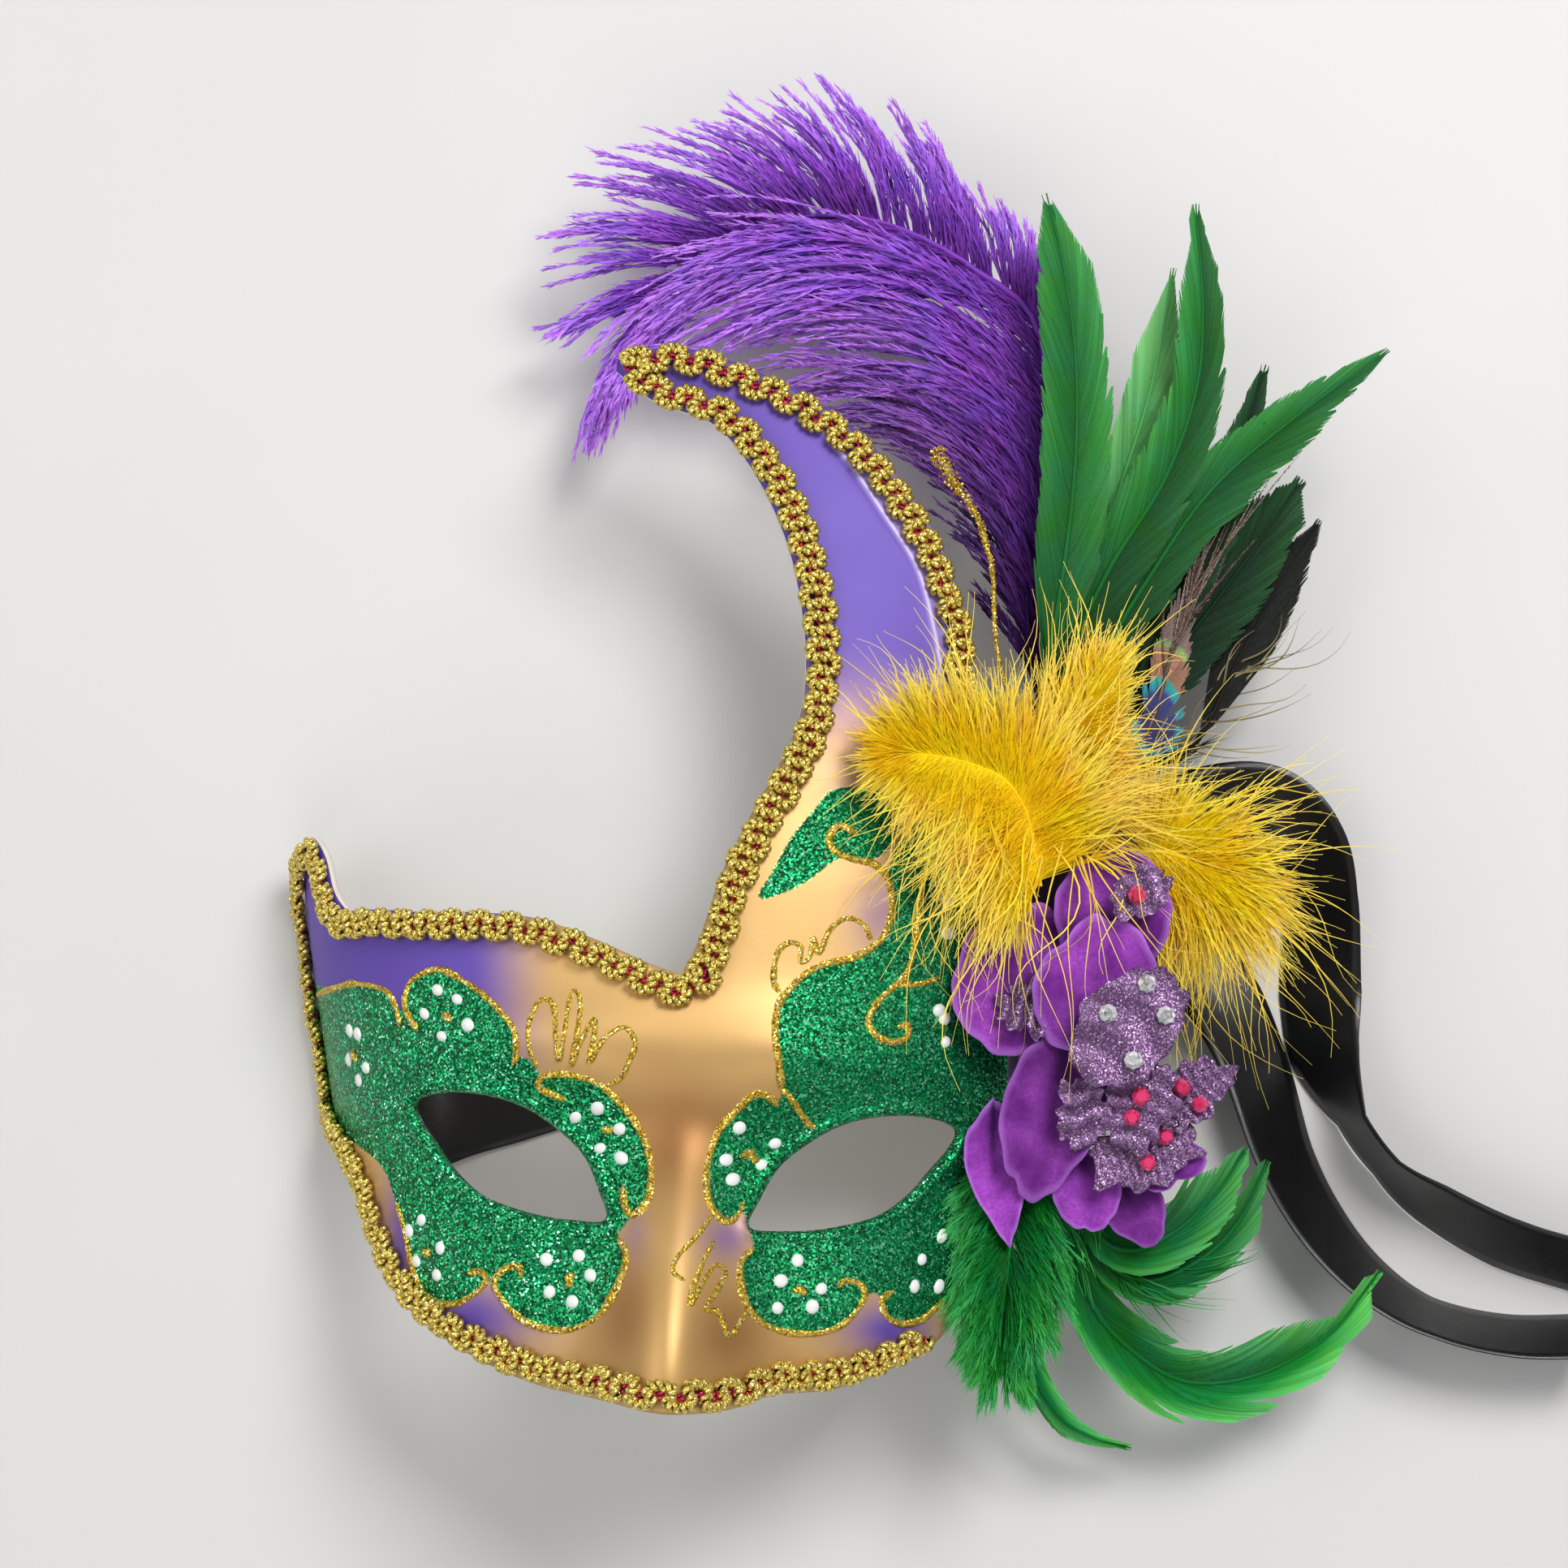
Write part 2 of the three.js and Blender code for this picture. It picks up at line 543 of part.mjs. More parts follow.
for (const row of PETALS) {
  addPiece(row.name, petal(row), row.name.startsWith('glitter') ? 'glitterPurple' : 'velvet');
}

// Cut stones: place on a petal (share of its length, share of its half width) and girdle diameter
const STONES = [
  { name: 'rhinestone_clear_1', petal: 'glitter_petal_1', along: 0.8, across: 0.42, size: 4 },
  { name: 'rhinestone_clear_2', petal: 'glitter_petal_1', along: 0.45, across: 0.5, size: 4 },
  { name: 'rhinestone_clear_3', petal: 'glitter_petal_1', along: 0.72, across: -0.5, size: 4 },
  { name: 'rhinestone_clear_4', petal: 'glitter_petal_1', along: 0.32, across: -0.55, size: 4 },
  { name: 'rhinestone_pink_1', petal: 'glitter_petal_6', along: 0.4, across: 0, size: 4 },
  { name: 'rhinestone_pink_2', petal: 'glitter_petal_3', along: 0.72, across: 0, size: 4 },
  { name: 'rhinestone_pink_3', petal: 'glitter_petal_3', along: 0.34, across: 0.3, size: 3.6 },
  { name: 'rhinestone_pink_4', petal: 'glitter_petal_4', along: 0.4, across: 0.35, size: 4 },
  { name: 'rhinestone_pink_5', petal: 'glitter_petal_4', along: 0.45, across: -0.5, size: 3.6 },
  { name: 'rhinestone_pink_6', petal: 'glitter_petal_5', along: 0.62, across: 0.2, size: 3.6 },
  { name: 'rhinestone_pink_7', petal: 'glitter_petal_5', along: 0.25, across: -0.1, size: 3.6 },
];

// Flat foil back, upright girdle, eight crown facets and a table
function cutStone(size) {
  const radius = size / 2;
  const profile = [[0, 0], [radius, 0], [radius, 0.16 * size], [0.58 * radius, 0.42 * size], [0, 0.42 * size]];
  const stone = new THREE.LatheGeometry(profile.map(([r, z]) => new THREE.Vector2(r, z)), 8);
  stone.rotateX(Math.PI / 2);
  return fromSolid(toSolid(stone));
}

for (const { name, petal: petalName, along, across, size } of STONES) {
  const row = PETALS.find((entry) => entry.name === petalName);
  const place = petalPoint(row, along, across);
  const step = 0.02;
  const forward = petalPoint(row, along + step, across).sub(petalPoint(row, along - step, across));
  const sideways = petalPoint(row, along, across + step).sub(petalPoint(row, along, across - step));
  const normal = forward.cross(sideways).normalize();
  const turn = new THREE.Quaternion().setFromUnitVectors(new THREE.Vector3(0, 0, 1), normal);
  const stone = cutStone(size).applyQuaternion(turn);
  stone.translate(place.x, place.y, place.z);
  stone.translate(normal.x * STONE_GAP, normal.y * STONE_GAP, normal.z * STONE_GAP);
  addPiece(name, stone, name.includes('clear') ? 'clearStone' : 'pinkStone');
}

// Satin ties: plan of the ribbon's middle line, the lean of its width from level in degrees
// (positive lifts the left-hand edge, seen along the route), and its lift off the surface
const RIBBONS = [
  { name: 'ribbon_left', route: [
    { x: -70, y: 2, lean: 40, lift: 3 }, { x: -62, y: 5, lean: 20, lift: 2 }, { x: -52, y: 10, lean: 0, lift: 0.8 },
    { x: -38, y: 15, lean: 0, lift: 0 }, { x: -15, y: 24, lean: 0, lift: 0 }, { x: 20, y: 40, lean: 0, lift: 0 },
    { x: 55, y: 58, lean: 0, lift: 0 }, { x: 80, y: 67, lean: 0, lift: 0 }, { x: 99, y: 63, lean: -4, lift: 0 },
    { x: 113, y: 50, lean: -14, lift: 0 }, { x: 123, y: 32, lean: -30, lift: 0 }, { x: 131, y: 10, lean: -40, lift: 0 },
    { x: 140, y: -5, lean: -46, lift: 0 }, { x: 151, y: -16, lean: -54, lift: 0 }, { x: 164, y: -23, lean: -62, lift: 0 },
    { x: 181, y: -26, lean: -62, lift: 0 }, { x: 200, y: -25, lean: -62, lift: 0 }] },
  { name: 'ribbon_right', route: [
    { x: 84, y: 72, lean: 8, lift: 13 }, { x: 98, y: 80, lean: 0, lift: 14 }, { x: 112, y: 86, lean: 8, lift: 12 },
    { x: 124, y: 87, lean: 24, lift: 8 }, { x: 133, y: 80, lean: 38, lift: 4 }, { x: 137, y: 68, lean: 42, lift: 1 },
    { x: 138, y: 47, lean: 42, lift: 0 }, { x: 139, y: 33, lean: 54, lift: 0 }, { x: 145, y: 19, lean: 80, lift: 0 },
    { x: 153, y: 9, lean: 80, lift: 0 }, { x: 163, y: 2, lean: 66, lift: 0 }, { x: 180, y: -6, lean: 58, lift: 0 },
    { x: 200, y: -11, lean: 56, lift: 0 }] },
];

function ribbon({ route }) {
  const rise = ({ lean, lift }) => RIBBON_THICK * 0.6 + lift
    + RIBBON_WIDTH / 2 * Math.abs(Math.sin(THREE.MathUtils.degToRad(lean)));
  const curve = spline(route.map((row) => [row.x, row.y, rise(row)]));
  const leans = route.map((row) => row.lean);
  const count = 3 * (route.length - 1);
  const rings = [];
  for (let i = 0; i <= count; i++) {
    const t = i / count;
    const along = curve.getTangent(t);
    const lean = THREE.MathUtils.degToRad(rowValue(leans, t));
    const across = new THREE.Vector3(-along.y, along.x, 0).setLength(Math.cos(lean));
    across.z = Math.sin(lean);
    const face = along.clone().cross(across).normalize();
    rings.push([[1, 1], [-1, 1], [-1, -1], [1, -1]].map(([side, skin]) => curve.getPoint(t)
      .addScaledVector(across, side * RIBBON_WIDTH / 2)
      .addScaledVector(face, skin * RIBBON_THICK / 2)));
  }
  return loft(rings);
}

for (const row of RIBBONS) {
  addPiece(row.name, ribbon(row), 'satin');
}

export default mask;
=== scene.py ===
# A feathered carnival half mask, lying face up on a plain pale floor
import math

import bpy
import numpy as np
from mathutils import Matrix, Vector
from mathutils.geometry import delaunay_2d_cdt


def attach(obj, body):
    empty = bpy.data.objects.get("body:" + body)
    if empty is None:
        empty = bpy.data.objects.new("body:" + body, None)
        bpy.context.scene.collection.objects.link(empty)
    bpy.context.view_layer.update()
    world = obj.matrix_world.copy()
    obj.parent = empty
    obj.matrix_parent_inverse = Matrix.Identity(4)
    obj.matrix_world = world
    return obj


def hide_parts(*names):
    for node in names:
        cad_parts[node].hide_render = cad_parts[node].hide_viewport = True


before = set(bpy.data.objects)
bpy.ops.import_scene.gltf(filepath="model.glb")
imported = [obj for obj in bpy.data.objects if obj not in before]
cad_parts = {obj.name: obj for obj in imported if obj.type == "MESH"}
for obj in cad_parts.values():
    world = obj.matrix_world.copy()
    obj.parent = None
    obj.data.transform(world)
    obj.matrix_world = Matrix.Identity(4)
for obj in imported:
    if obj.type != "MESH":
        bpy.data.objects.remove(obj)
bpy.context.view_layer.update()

# Sizes are in millimetres about the mask's own axis: x = 0 on the nose, y = 0 on the eye line,
# z = 0 on the floor. FACE_AXIS moves that axis to its place in the part's frame.
MM = 0.001
FACE_AXIS = np.array([-29.2, -91.5, 0.0])

# Moulded shell
WALL = 1.8
FACE_DEPTH = 58.0
CHIN_HALF_WIDTH = 72.0
TEMPLE_FLARE = 20.0
FLARE_SPAN = (-45, 90)
GIRTH_RADIUS = 72.0
TEMPLE_U = GIRTH_RADIUS * math.pi / 2
NOSE_HEIGHT = 21.0
NOSE_SPAN = (16, -44)
NOSE_BRIDGE = 9
NOSE_FLARE = 6
BROW_HEIGHT = 4.5
SOCKET_DEPTH = 6.0
CHEEK_HEIGHT = 4.0
CREST_LEAN = 12.0
CREST_SPAN = (40, 170)
RELIEF_FADE = 1.6
EYE_LIP_HEIGHT = 1.0
EYE_LIP_REACH = 1.5
EYE_LIP_SPREAD = 1.1
EDGE_ROLL = 0.35
EDGE_ROLL_REACH = 0.7
EYE_ROLL = 0.3
EYE_ROLL_REACH = 0.5
FOLD_RIDGE = 0.35
FOLD_RIDGE_SPREAD = 0.8

# Net of points on the unrolled shell: even triangles, rows SHELL_ROW of a step apart, clear of its edges
SHELL_GRID = 1.15
SHELL_ROW = 0.866
SHELL_FOOT = -52
SHELL_TOP = 178
OUTLINE_CLEAR = 0.7
EYE_CLEAR = 3.6
EYE_RINGS = (0.5, 1.0, 1.6, 2.3, 3.0)
FOLD_CLEAR = 1.3
FOLD_ROWS = (-1, -0.45, 0, 0.45, 1)
FIELD_REACH = 4.0

# Gold braid
BRAID_WIDTH = 7.8
BRAID_LIFT = 0.7
BRAID_THICK = 2.2
BRAID_PITCH = 6.0
BRAID_CORD_RADIUS = 0.72
BRAID_STRAND_RADIUS = 0.66
BRAID_TWIST = 2.9
BRAID_MARGIN = 0.6
BRAID_LOOP = 0.17
BRAID_HUMP = 0.3
BRAID_STEPS = 64
CORE_RADIUS = 0.42
CORE_LIFT = 0.7
CORE_HALF_GAP = 0.5
CORE_WAVE = 0.35
FLOOR_GAP = 0.1

# Paint lines and dots
LINE_HALF = 0.74
LINE_HEIGHT = 0.6
LINE_STEP = 0.45
LINE_SECTION = [(-1, -0.12), (-0.72, 0.62), (0, 1), (0.72, 0.62), (1, -0.12)]
LINE_SWELLS = 14
THIN_LINE = 0.72
DOT_RADIUS = 1.4
DOT_HEIGHT = 0.75
LOOSE_DOT_HEIGHT = 0.8
GRAIN_HEIGHT = 0.7
GRAIN_SCATTER = 0.6
GRAINS = 4

# Ribbon, petals and stones
RIBBON_WIDTH = 19.0
RIBBON_THICK = 1.0
RIBBON_REST = 0.6
RIBBON_CURL = 0.25
RIBBON_COLUMNS = 9
SATIN_THICK = 0.35
PETAL_THICK = 0.7
STONE_GAP = 0.35
STONE_SIDES = 8

# Feathers
QUILL_STEPS = 40
QUILL_SIDES = 6
MAP_COLUMNS = 128
QUILL_COLUMN = 115
BARB_PITCH = 0.75
BARB_GAP = 0.8
VANE_END = 0.97
VANE_STEPS = 9
VANE_TUFTS = 9

# The photograph's view
IMAGE_SIDE = 1932
PIXELS_PER_MM = 5.9
CAMERA_DISTANCE = 700.0
CAMERA_ELEVATION = math.radians(82)
CAMERA_ROLL = math.radians(3)
CAMERA_TARGET = np.array([17.0, 80.5, 55.0])

UP = np.array([0, 0, 1.0])


# Small helpers

def table(columns, *rows):
    """Rows of values under named columns."""
    return [dict(zip(columns.split(), row)) for row in rows]


def seeded(name):
    return np.random.default_rng(list(name.encode()))


def smooth_step(low, high, x):
    t = np.clip((x - low) / (high - low), 0, 1)
    return t * t * (3 - 2 * t)


def hill(dx, dy, spread_x, spread_y):
    return np.exp(-((dx / spread_x) ** 2) - (dy / spread_y) ** 2)


def row_value(values, share):
    return np.interp(share, np.linspace(0, 1, len(values)), values)


def unit(vectors):
    return vectors / np.maximum(np.linalg.norm(vectors, axis=-1, keepdims=True), 1e-9)


def left_of(way):
    """The direction to the left of each direction in a plane."""
    return np.stack([-way[:, 1], way[:, 0]], axis=-1)


class Line:
    """A smooth line through points, measured along its length."""

    def __init__(self, points, closed=False, fine=24):
        knots = np.array(points, float)
        if closed:
            ends = np.vstack([knots[-1], knots, knots[0], knots[1]])
        else:
            ends = np.vstack([2 * knots[0] - knots[1], knots, 2 * knots[-1] - knots[-2]])
        t = np.linspace(0, 1, fine, endpoint=False)[:, None]
        runs = []
        for a, b, c, d in zip(ends, ends[1:], ends[2:], ends[3:]):
            curve = 2 * b + (c - a) * t + (2 * a - 5 * b + 4 * c - d) * t**2 + (3 * b - a - 3 * c + d) * t**3
            runs.append(curve / 2)
        last = knots[0] if closed else knots[-1]
        self.places = np.vstack(runs + [last[None]])
        steps = np.linalg.norm(np.diff(self.places, axis=0), axis=1)
        self.lengths = np.concatenate([[0], np.cumsum(steps)])
        self.length = self.lengths[-1]

    def at(self, share):
        reach = np.asarray(share) * self.length
        return np.stack([np.interp(reach, self.lengths, axis) for axis in self.places.T], axis=-1)

    def heading(self, share):
        step = 0.003
        ahead = self.at(np.minimum(np.asarray(share) + step, 1))
        behind = self.at(np.maximum(np.asarray(share) - step, 0))
        return unit(ahead - behind)

    def spaced(self, spacing):
        count = max(2, round(self.length / spacing))
        return self.at(np.linspace(0, 1, count + 1))


# The face's outer surface, unrolled: u runs round the face from the nose, v up it

def half_width(v):
    return CHIN_HALF_WIDTH + TEMPLE_FLARE * smooth_step(*FLARE_SPAN, v)


# Brow, eye socket and cheek, alike on both sides of the nose
FACE_FORMS = table(
    "x y wide high rise",
    (30, 24, 26, 10, BROW_HEIGHT),
    (26, 4, 17, 13, -SOCKET_DEPTH),
    (36, -27, 18, 13, CHEEK_HEIGHT),
)


def face_relief(x, y):
    nose = smooth_step(*NOSE_SPAN, y)
    height = NOSE_HEIGHT * nose * np.exp(-((x / (NOSE_BRIDGE + NOSE_FLARE * nose)) ** 2))
    for side in (-1, 1):
        for form in FACE_FORMS:
            rounded = hill(x - side * form["x"], y - form["y"], form["wide"], form["high"])
            height = height + form["rise"] * rounded
    return height


def face_surface(u, v):
    turn = u / GIRTH_RADIUS
    x = half_width(v) * np.sin(turn)
    depth = FACE_DEPTH - CREST_LEAN * smooth_step(*CREST_SPAN, v)
    fade = np.minimum(1, RELIEF_FADE * np.cos(turn) ** 2)
    return np.stack([x, v + 0 * x, depth * np.cos(turn) + face_relief(x, v) * fade], axis=-1)


def on_face(u, v, lift):
    u, v = np.asarray(u, float), np.asarray(v, float)
    step = 0.05
    along_u = face_surface(u + step, v) - face_surface(u - step, v)
    along_v = face_surface(u, v + step) - face_surface(u, v - step)
    normal = unit(np.cross(along_u, along_v))
    return face_surface(u, v) + normal * np.asarray(lift, float)[..., None]


# Edges of the shell on the unrolled face, (u, v) from corner to corner
EDGES = {
    "crest_inner": [(-19, 170), (-12, 163.5), (-2.5, 159.5), (3, 153), (8, 143.5), (12, 132.5), (14.5, 121),
                    (16, 108), (15.5, 96), (12.5, 85), (8, 73), (4, 60.5), (1, 47), (-1.7, 39.6)],
    "brow": [(-1.7, 39.6), (-7, 41.2), (-17, 45.9), (-28, 49.9), (-40, 50.9), (-52, 50.9), (-64, 51.6),
             (-75, 51.5)],
    "horn": [(-75, 51.5), (-80, 56), (-83.5, 64), (-91, 68.5), (-100, 66.5), (-108, 61), (-TEMPLE_U, 53)],
    "rest_left": [(-TEMPLE_U, 53), (-TEMPLE_U, 8)],
    "side": [(-TEMPLE_U, 8), (-106, 3.5), (-94, -1), (-84, -8), (-78, -17.5), (-72, -25), (-66, -30.5),
             (-58, -35)],
    "bottom": [(-58, -35), (-43, -41), (-28, -45.5), (-13, -47.5), (0, -49), (13, -48), (22, -45),
               (34, -43.7), (45, -40.5), (58, -35.5), (66, -30.5)],
    "right": [(66, -30.5), (72, -25), (78, -17.5), (84, -8), (94, -1), (106, 3.5), (TEMPLE_U, 8)],
    "rest_right": [(TEMPLE_U, 8), (TEMPLE_U, 53)],
    "crest_outer": [(TEMPLE_U, 53), (106, 58), (92, 65), (74, 73), (59, 84), (50, 95), (47.3, 106),
                    (46.5, 117), (42.6, 128.5), (38, 139), (32, 148.5), (24.5, 158), (14, 166.5), (3, 172),
                    (-6, 175.3), (-14, 175), (-18.5, 173), (-19, 170)],
}

EYE_EDGE = [(14.3, -11.4), (16, -5.5), (19, 1), (24, 6), (31, 10.5), (40, 12.8), (50, 13), (58.3, 11),
            (57.5, 7), (53.5, 2.5), (48.5, -3), (41, -7.8), (30, -10.9), (21, -11.9)]

# Piped gold lines on the unrolled face
LINES = {
    "brow_wave": [(-100, 34.5), (-85, 35.3), (-76, 36), (-68, 35.4), (-62.6, 33.7), (-60.4, 29.4),
                  (-60.3, 26.5)],
    "brow_scroll": [(-55, 25.8), (-58.1, 30.8), (-56.5, 35.6), (-52.4, 38), (-47.9, 38.7), (-42.8, 36.3),
                    (-38.4, 33.3), (-34.7, 29.6), (-32.4, 26.1), (-32.1, 21.3), (-33.1, 19)],
    "brow_squiggle": [(-27.8, 18.7), (-29.2, 22), (-29.4, 27), (-27.8, 31.5), (-26.1, 32.9), (-24.4, 31),
                      (-23.7, 20.4), (-22.4, 26), (-21.5, 33), (-20.6, 35), (-19.5, 32.5), (-20, 26),
                      (-21.2, 19.4), (-19, 25), (-16.8, 29.2), (-16.9, 25), (-17.7, 20.3), (-15, 25),
                      (-11.4, 27.7), (-9.3, 24.8), (-10.3, 21), (-11.8, 17.5), (-14.6, 15.7)],
    "left_inner": [(-22.6, 12.5), (-27.7, 14.7), (-26.9, 17), (-22.4, 17.6), (-16.8, 16.3), (-12.5, 12.9),
                   (-9, 8.4), (-6.6, 3.7), (-5.5, -2.3), (-6, -7.6), (-8.7, -10.3), (-10.5, -8.3),
                   (-11, -4.5)],
    "left_side_curl": [(-44.9, -23.9), (-41.5, -23.5), (-40.1, -25.3), (-44.2, -28.7), (-50.3, -30.6),
                       (-56.9, -29.3), (-61.5, -24), (-64.8, -14.2), (-67, -10)],
    "left_lower": [(-31.8, -24.3), (-32.4, -21.9), (-36.2, -22.9), (-38.1, -25.7), (-36, -28.9),
                   (-31.6, -32.5), (-26.1, -34.1), (-20.7, -34), (-15.5, -31.5), (-12.4, -27.6),
                   (-10.2, -22.6), (-9.6, -18.2), (-11.5, -15.1)],
    "leaf_curl": [(26.9, 70.9), (23.4, 72.6), (21.7, 69.5), (23, 67.1), (26, 65.8), (30, 65.1),
                  (32.8, 62.5), (34.3, 57.4), (34, 51.4), (31.8, 47.8), (28, 44.9), (23.8, 43.5),
                  (20.2, 41.2), (17.4, 37.5), (15.8, 34.3), (15.6, 28.3), (16.9, 22.1), (17.9, 16.9)],
    "forehead_squiggle": [(15.8, 36.4), (14.4, 39.3), (14.6, 44.8), (16.6, 47.3), (18.6, 46.4),
                          (18.8, 43.2), (20.4, 44.6), (20.6, 48.7), (22, 45.5), (23.5, 50.5), (26.2, 53.2),
                          (29.5, 52), (31.4, 48.6)],
    "temple_line": [(39.6, 64.2), (40, 56.6), (39.8, 48), (39.1, 42.8), (37.4, 40.2), (34.2, 36.3),
                    (32.8, 32.2), (34.7, 29.3), (38.2, 28), (41.2, 29.3), (40.9, 31.9), (38.8, 31.2)],
    "temple_branch": [(37.4, 40.2), (41.8, 40.6), (46.3, 42.4)],
    "right_inner": [(17.7, 13.4), (15.6, 15.2), (12.8, 15.5), (10, 12.3), (7.1, 8.3), (5.5, 3.2), (5.1, -1.7),
                    (5.9, -6.4), (8, -9.8), (10.4, -10.6), (12.3, -8.5), (12.7, -6)],
    "inner_branch": [(17.9, 16.9), (19.6, 15.4), (21.5, 13), (24.3, 10), (27.4, 9.4)],
    "nose_line": [(7, -9.3), (4.3, -13.8), (1, -18), (0.1, -21.1), (2.6, -22.9)],
    "nose_scribble": [(7.6, -14.5), (5.8, -19), (4.3, -24), (4, -27.6), (6.2, -23), (8.2, -19.5), (10.4, -21),
                      (8.6, -25), (7.1, -28.3), (9.5, -28.7), (10.6, -31), (12.2, -33.4), (15.1, -28.5)],
    "right_lower": [(15.5, -15.6), (13.3, -18.6), (13.6, -23.3), (15.6, -28), (19.8, -31.2), (25.9, -32.4),
                    (32.2, -31.8), (36.8, -29.5), (40.3, -25.1), (39.4, -22.1), (35.5, -21.3), (34, -22.9)],
    "right_side_curl": [(47.8, -22.8), (44.9, -24.9), (46.6, -28.2), (50.8, -29.5), (56.7, -28.4), (63, -24)],
}

# Green glitter fields, each a closed outline that runs along the gold lines
FIELDS = [
    [(-113, 35), *LINES["brow_wave"][1:5], (-59.7, 30.2), *LINES["brow_scroll"][1:10], (-29.6, 20.4),
     (-28, 18.2), *LINES["left_inner"][2:11], (-10.4, -12.8), *LINES["left_lower"][:2:-1], (-40.1, -25.6),
     *LINES["left_side_curl"][3:], (-71, -3), (-80, 1), (-95, 5), (-113, 10)],
    [(34.3, 57.4), *LINES["leaf_curl"][8:], (17.7, 14.6), *LINES["right_inner"][1:11], (13.8, -12.8),
     *LINES["right_lower"][:9], (42.6, -23.4), *LINES["right_side_curl"][1:], (75, -16), (95, 2), (113, 12),
     (113, 50), (90, 60), (60, 74), (44, 80), (36, 74), (32.8, 62.5)],
    [(10.6, 55.9), (12.6, 62), (15.4, 69.5), (19, 75.9), (21.7, 80.1), (27.1, 81.2), (34, 80), (33, 70),
     (30, 66), (26, 66), (23.1, 65.2), (17.7, 59.5)],
]

# White paint flowers: five dots and a gold middle
DOT_FLOWERS = [
    [(-49.2, 34.4), (-44.6, 32.5), (-52.9, 29.4), (-42.4, 27.1), (-48.8, 24.7), (-46.9, 28.9)],
    [(-79.1, 26.1), (-75.6, 25.3), (-81.5, 19.9), (-73.7, 18.1), (-77.7, 15.5), (-78.3, 21.0)],
    [(-16.4, 11.1), (-20.8, 9.1), (-12.1, 7.1), (-15.9, 3.0), (-11.6, 1.2), (-15.0, 6.7)],
    [(-58.3, -13.5), (-62.6, -15.9), (-52.7, -19.1), (-60.4, -22.1), (-53.8, -24.7), (-57.1, -20.5)],
    [(-26.3, -20.2), (-19.4, -19.1), (-16.8, -22.9), (-25.4, -26.7), (-20.4, -28.4), (-21.1, -24.4)],
    [(10.6, 8.6), (8.6, 1.9), (17.7, 5.9), (15.6, 1.3), (10.2, -2.0), (13.0, 2.2)],
    [(24.7, -17.7), (21.6, -22.0), (30.4, -23.2), (21.4, -27.5), (28.8, -26.9), (25.7, -23.7)],
]
LOOSE_DOTS = [(54.2, -16.2), (53.2, -21.8), (59.1, -11.1), (60.5, -21.6), (47.4, 35.6), (49, 34),
              (50.2, 29.1), (46.6, 52.1), (45.7, 59.1)]

# Airbrushed colour, partly painted shade in the bronze patches: middle, spreads and strength of each soft
# patch
MIST_COLUMNS = "u v wide high strength"
PURPLE_MIST = table(
    MIST_COLUMNS,
    (-44, -33, 15, 8, 1.0),
    (-65, -18, 8, 14, 0.9),
    (-8, -14, 3, 6, 0.35),
    (10, -14, 5, 5, 0.65),
    (48, -31, 12, 6, 1.0),
    (33, 55, 6, 9, 0.5),
    (30, 84, 10, 8, 0.35),
)
# Bronze between the brows and beside the nose: partly airbrush, partly painted shade in these hollows
BRONZE_AND_SHADE_MIST = table(
    MIST_COLUMNS,
    (0, 6, 20, 15, 0.8),
    (-9, -30, 7, 14, 0.7),
    (12, -33, 9, 10, 0.7),
)

# Where the purple of the crest and the brow fades in, and the painted highlight along the crest's fold
CREST_PURPLE_V = (80, 114)
BROW_PURPLE_U = (-22, -42)
BROW_PURPLE_V = (13, 22)
BROW_PURPLE_TOP = 75
FOLD_HIGHLIGHT_FOOT_V = (104, 118)
FOLD_HIGHLIGHT_TOP_V = (158, 148)
FOLD_HIGHLIGHT_LINE_V = (104, 112)
FOLD_HIGHLIGHT_LINE_SPREAD = 0.42
FOLD_HIGHLIGHT_TINT = 0.4

# Fold line of the crest's outer edge
CREST_FOLD = [(16, 160), (22.2, 151.5), (28.2, 141.8), (35, 130.3), (38.8, 117.1), (41, 106)]


# Materials

def rgb(red, green, blue):
    def linear(value):
        share = value / 255
        return share / 12.92 if share <= 0.04045 else ((share + 0.055) / 1.055) ** 2.4
    return (linear(red), linear(green), linear(blue), 1.0)


def add(mat, kind, inputs, **settings):
    node = mat.node_tree.nodes.new("ShaderNode" + kind)
    for key, value in settings.items():
        setattr(node, key, value)
    for key, value in inputs.items():
        if isinstance(value, bpy.types.NodeSocket):
            mat.node_tree.links.new(value, node.inputs[key])
        else:
            node.inputs[key].default_value = value
    return node


def new_material(name, **sockets):
    mat = bpy.data.materials.new(name)
    mat.use_nodes = True
    shade(mat, **sockets)
    return mat


def shade(mat, **sockets):
    shader = mat.node_tree.nodes["Principled BSDF"]
    for key, value in sockets.items():
        target = shader.inputs[key.replace("_", " ")]
        if isinstance(value, bpy.types.NodeSocket):
            mat.node_tree.links.new(value, target)
        else:
            target.default_value = value


def attribute(mat, name):
    return add(mat, "Attribute", {}, attribute_name=name).outputs["Fac"]


def place_of(mat):
    return add(mat, "TexCoord", {}).outputs["Object"]


def mix_colour(mat, share, first, second):
    return add(mat, "Mix", {0: share, 6: first, 7: second}, data_type="RGBA").outputs[2]


def mix_value(mat, share, first, second):
    return add(mat, "Mix", {0: share, 2: first, 3: second}, data_type="FLOAT").outputs[0]


def mix_vector(mat, share, first, second):
    return add(mat, "Mix", {0: share, 4: first, 5: second}, data_type="VECTOR").outputs[1]


def spread_value(mat, value, low, high, to_low, to_high):
    return add(mat, "MapRange", {0: value, 1: low, 2: high, 3: to_low, 4: to_high}).outputs[0]


def ramp(mat, value, stops):
    node = add(mat, "ValToRGB", {0: value})
    for _ in range(len(stops) - 2):
        node.color_ramp.elements.new(0.5)
    for element, (position, colour) in zip(node.color_ramp.elements, stops):
        element.position = position
        element.color = colour
    return node.outputs["Color"]


def noise(mat, grain, detail=3.0):
    inputs = {"Vector": place_of(mat), "Scale": 1 / (grain * MM), "Detail": detail}
    return add(mat, "TexNoise", inputs).outputs["Fac"]


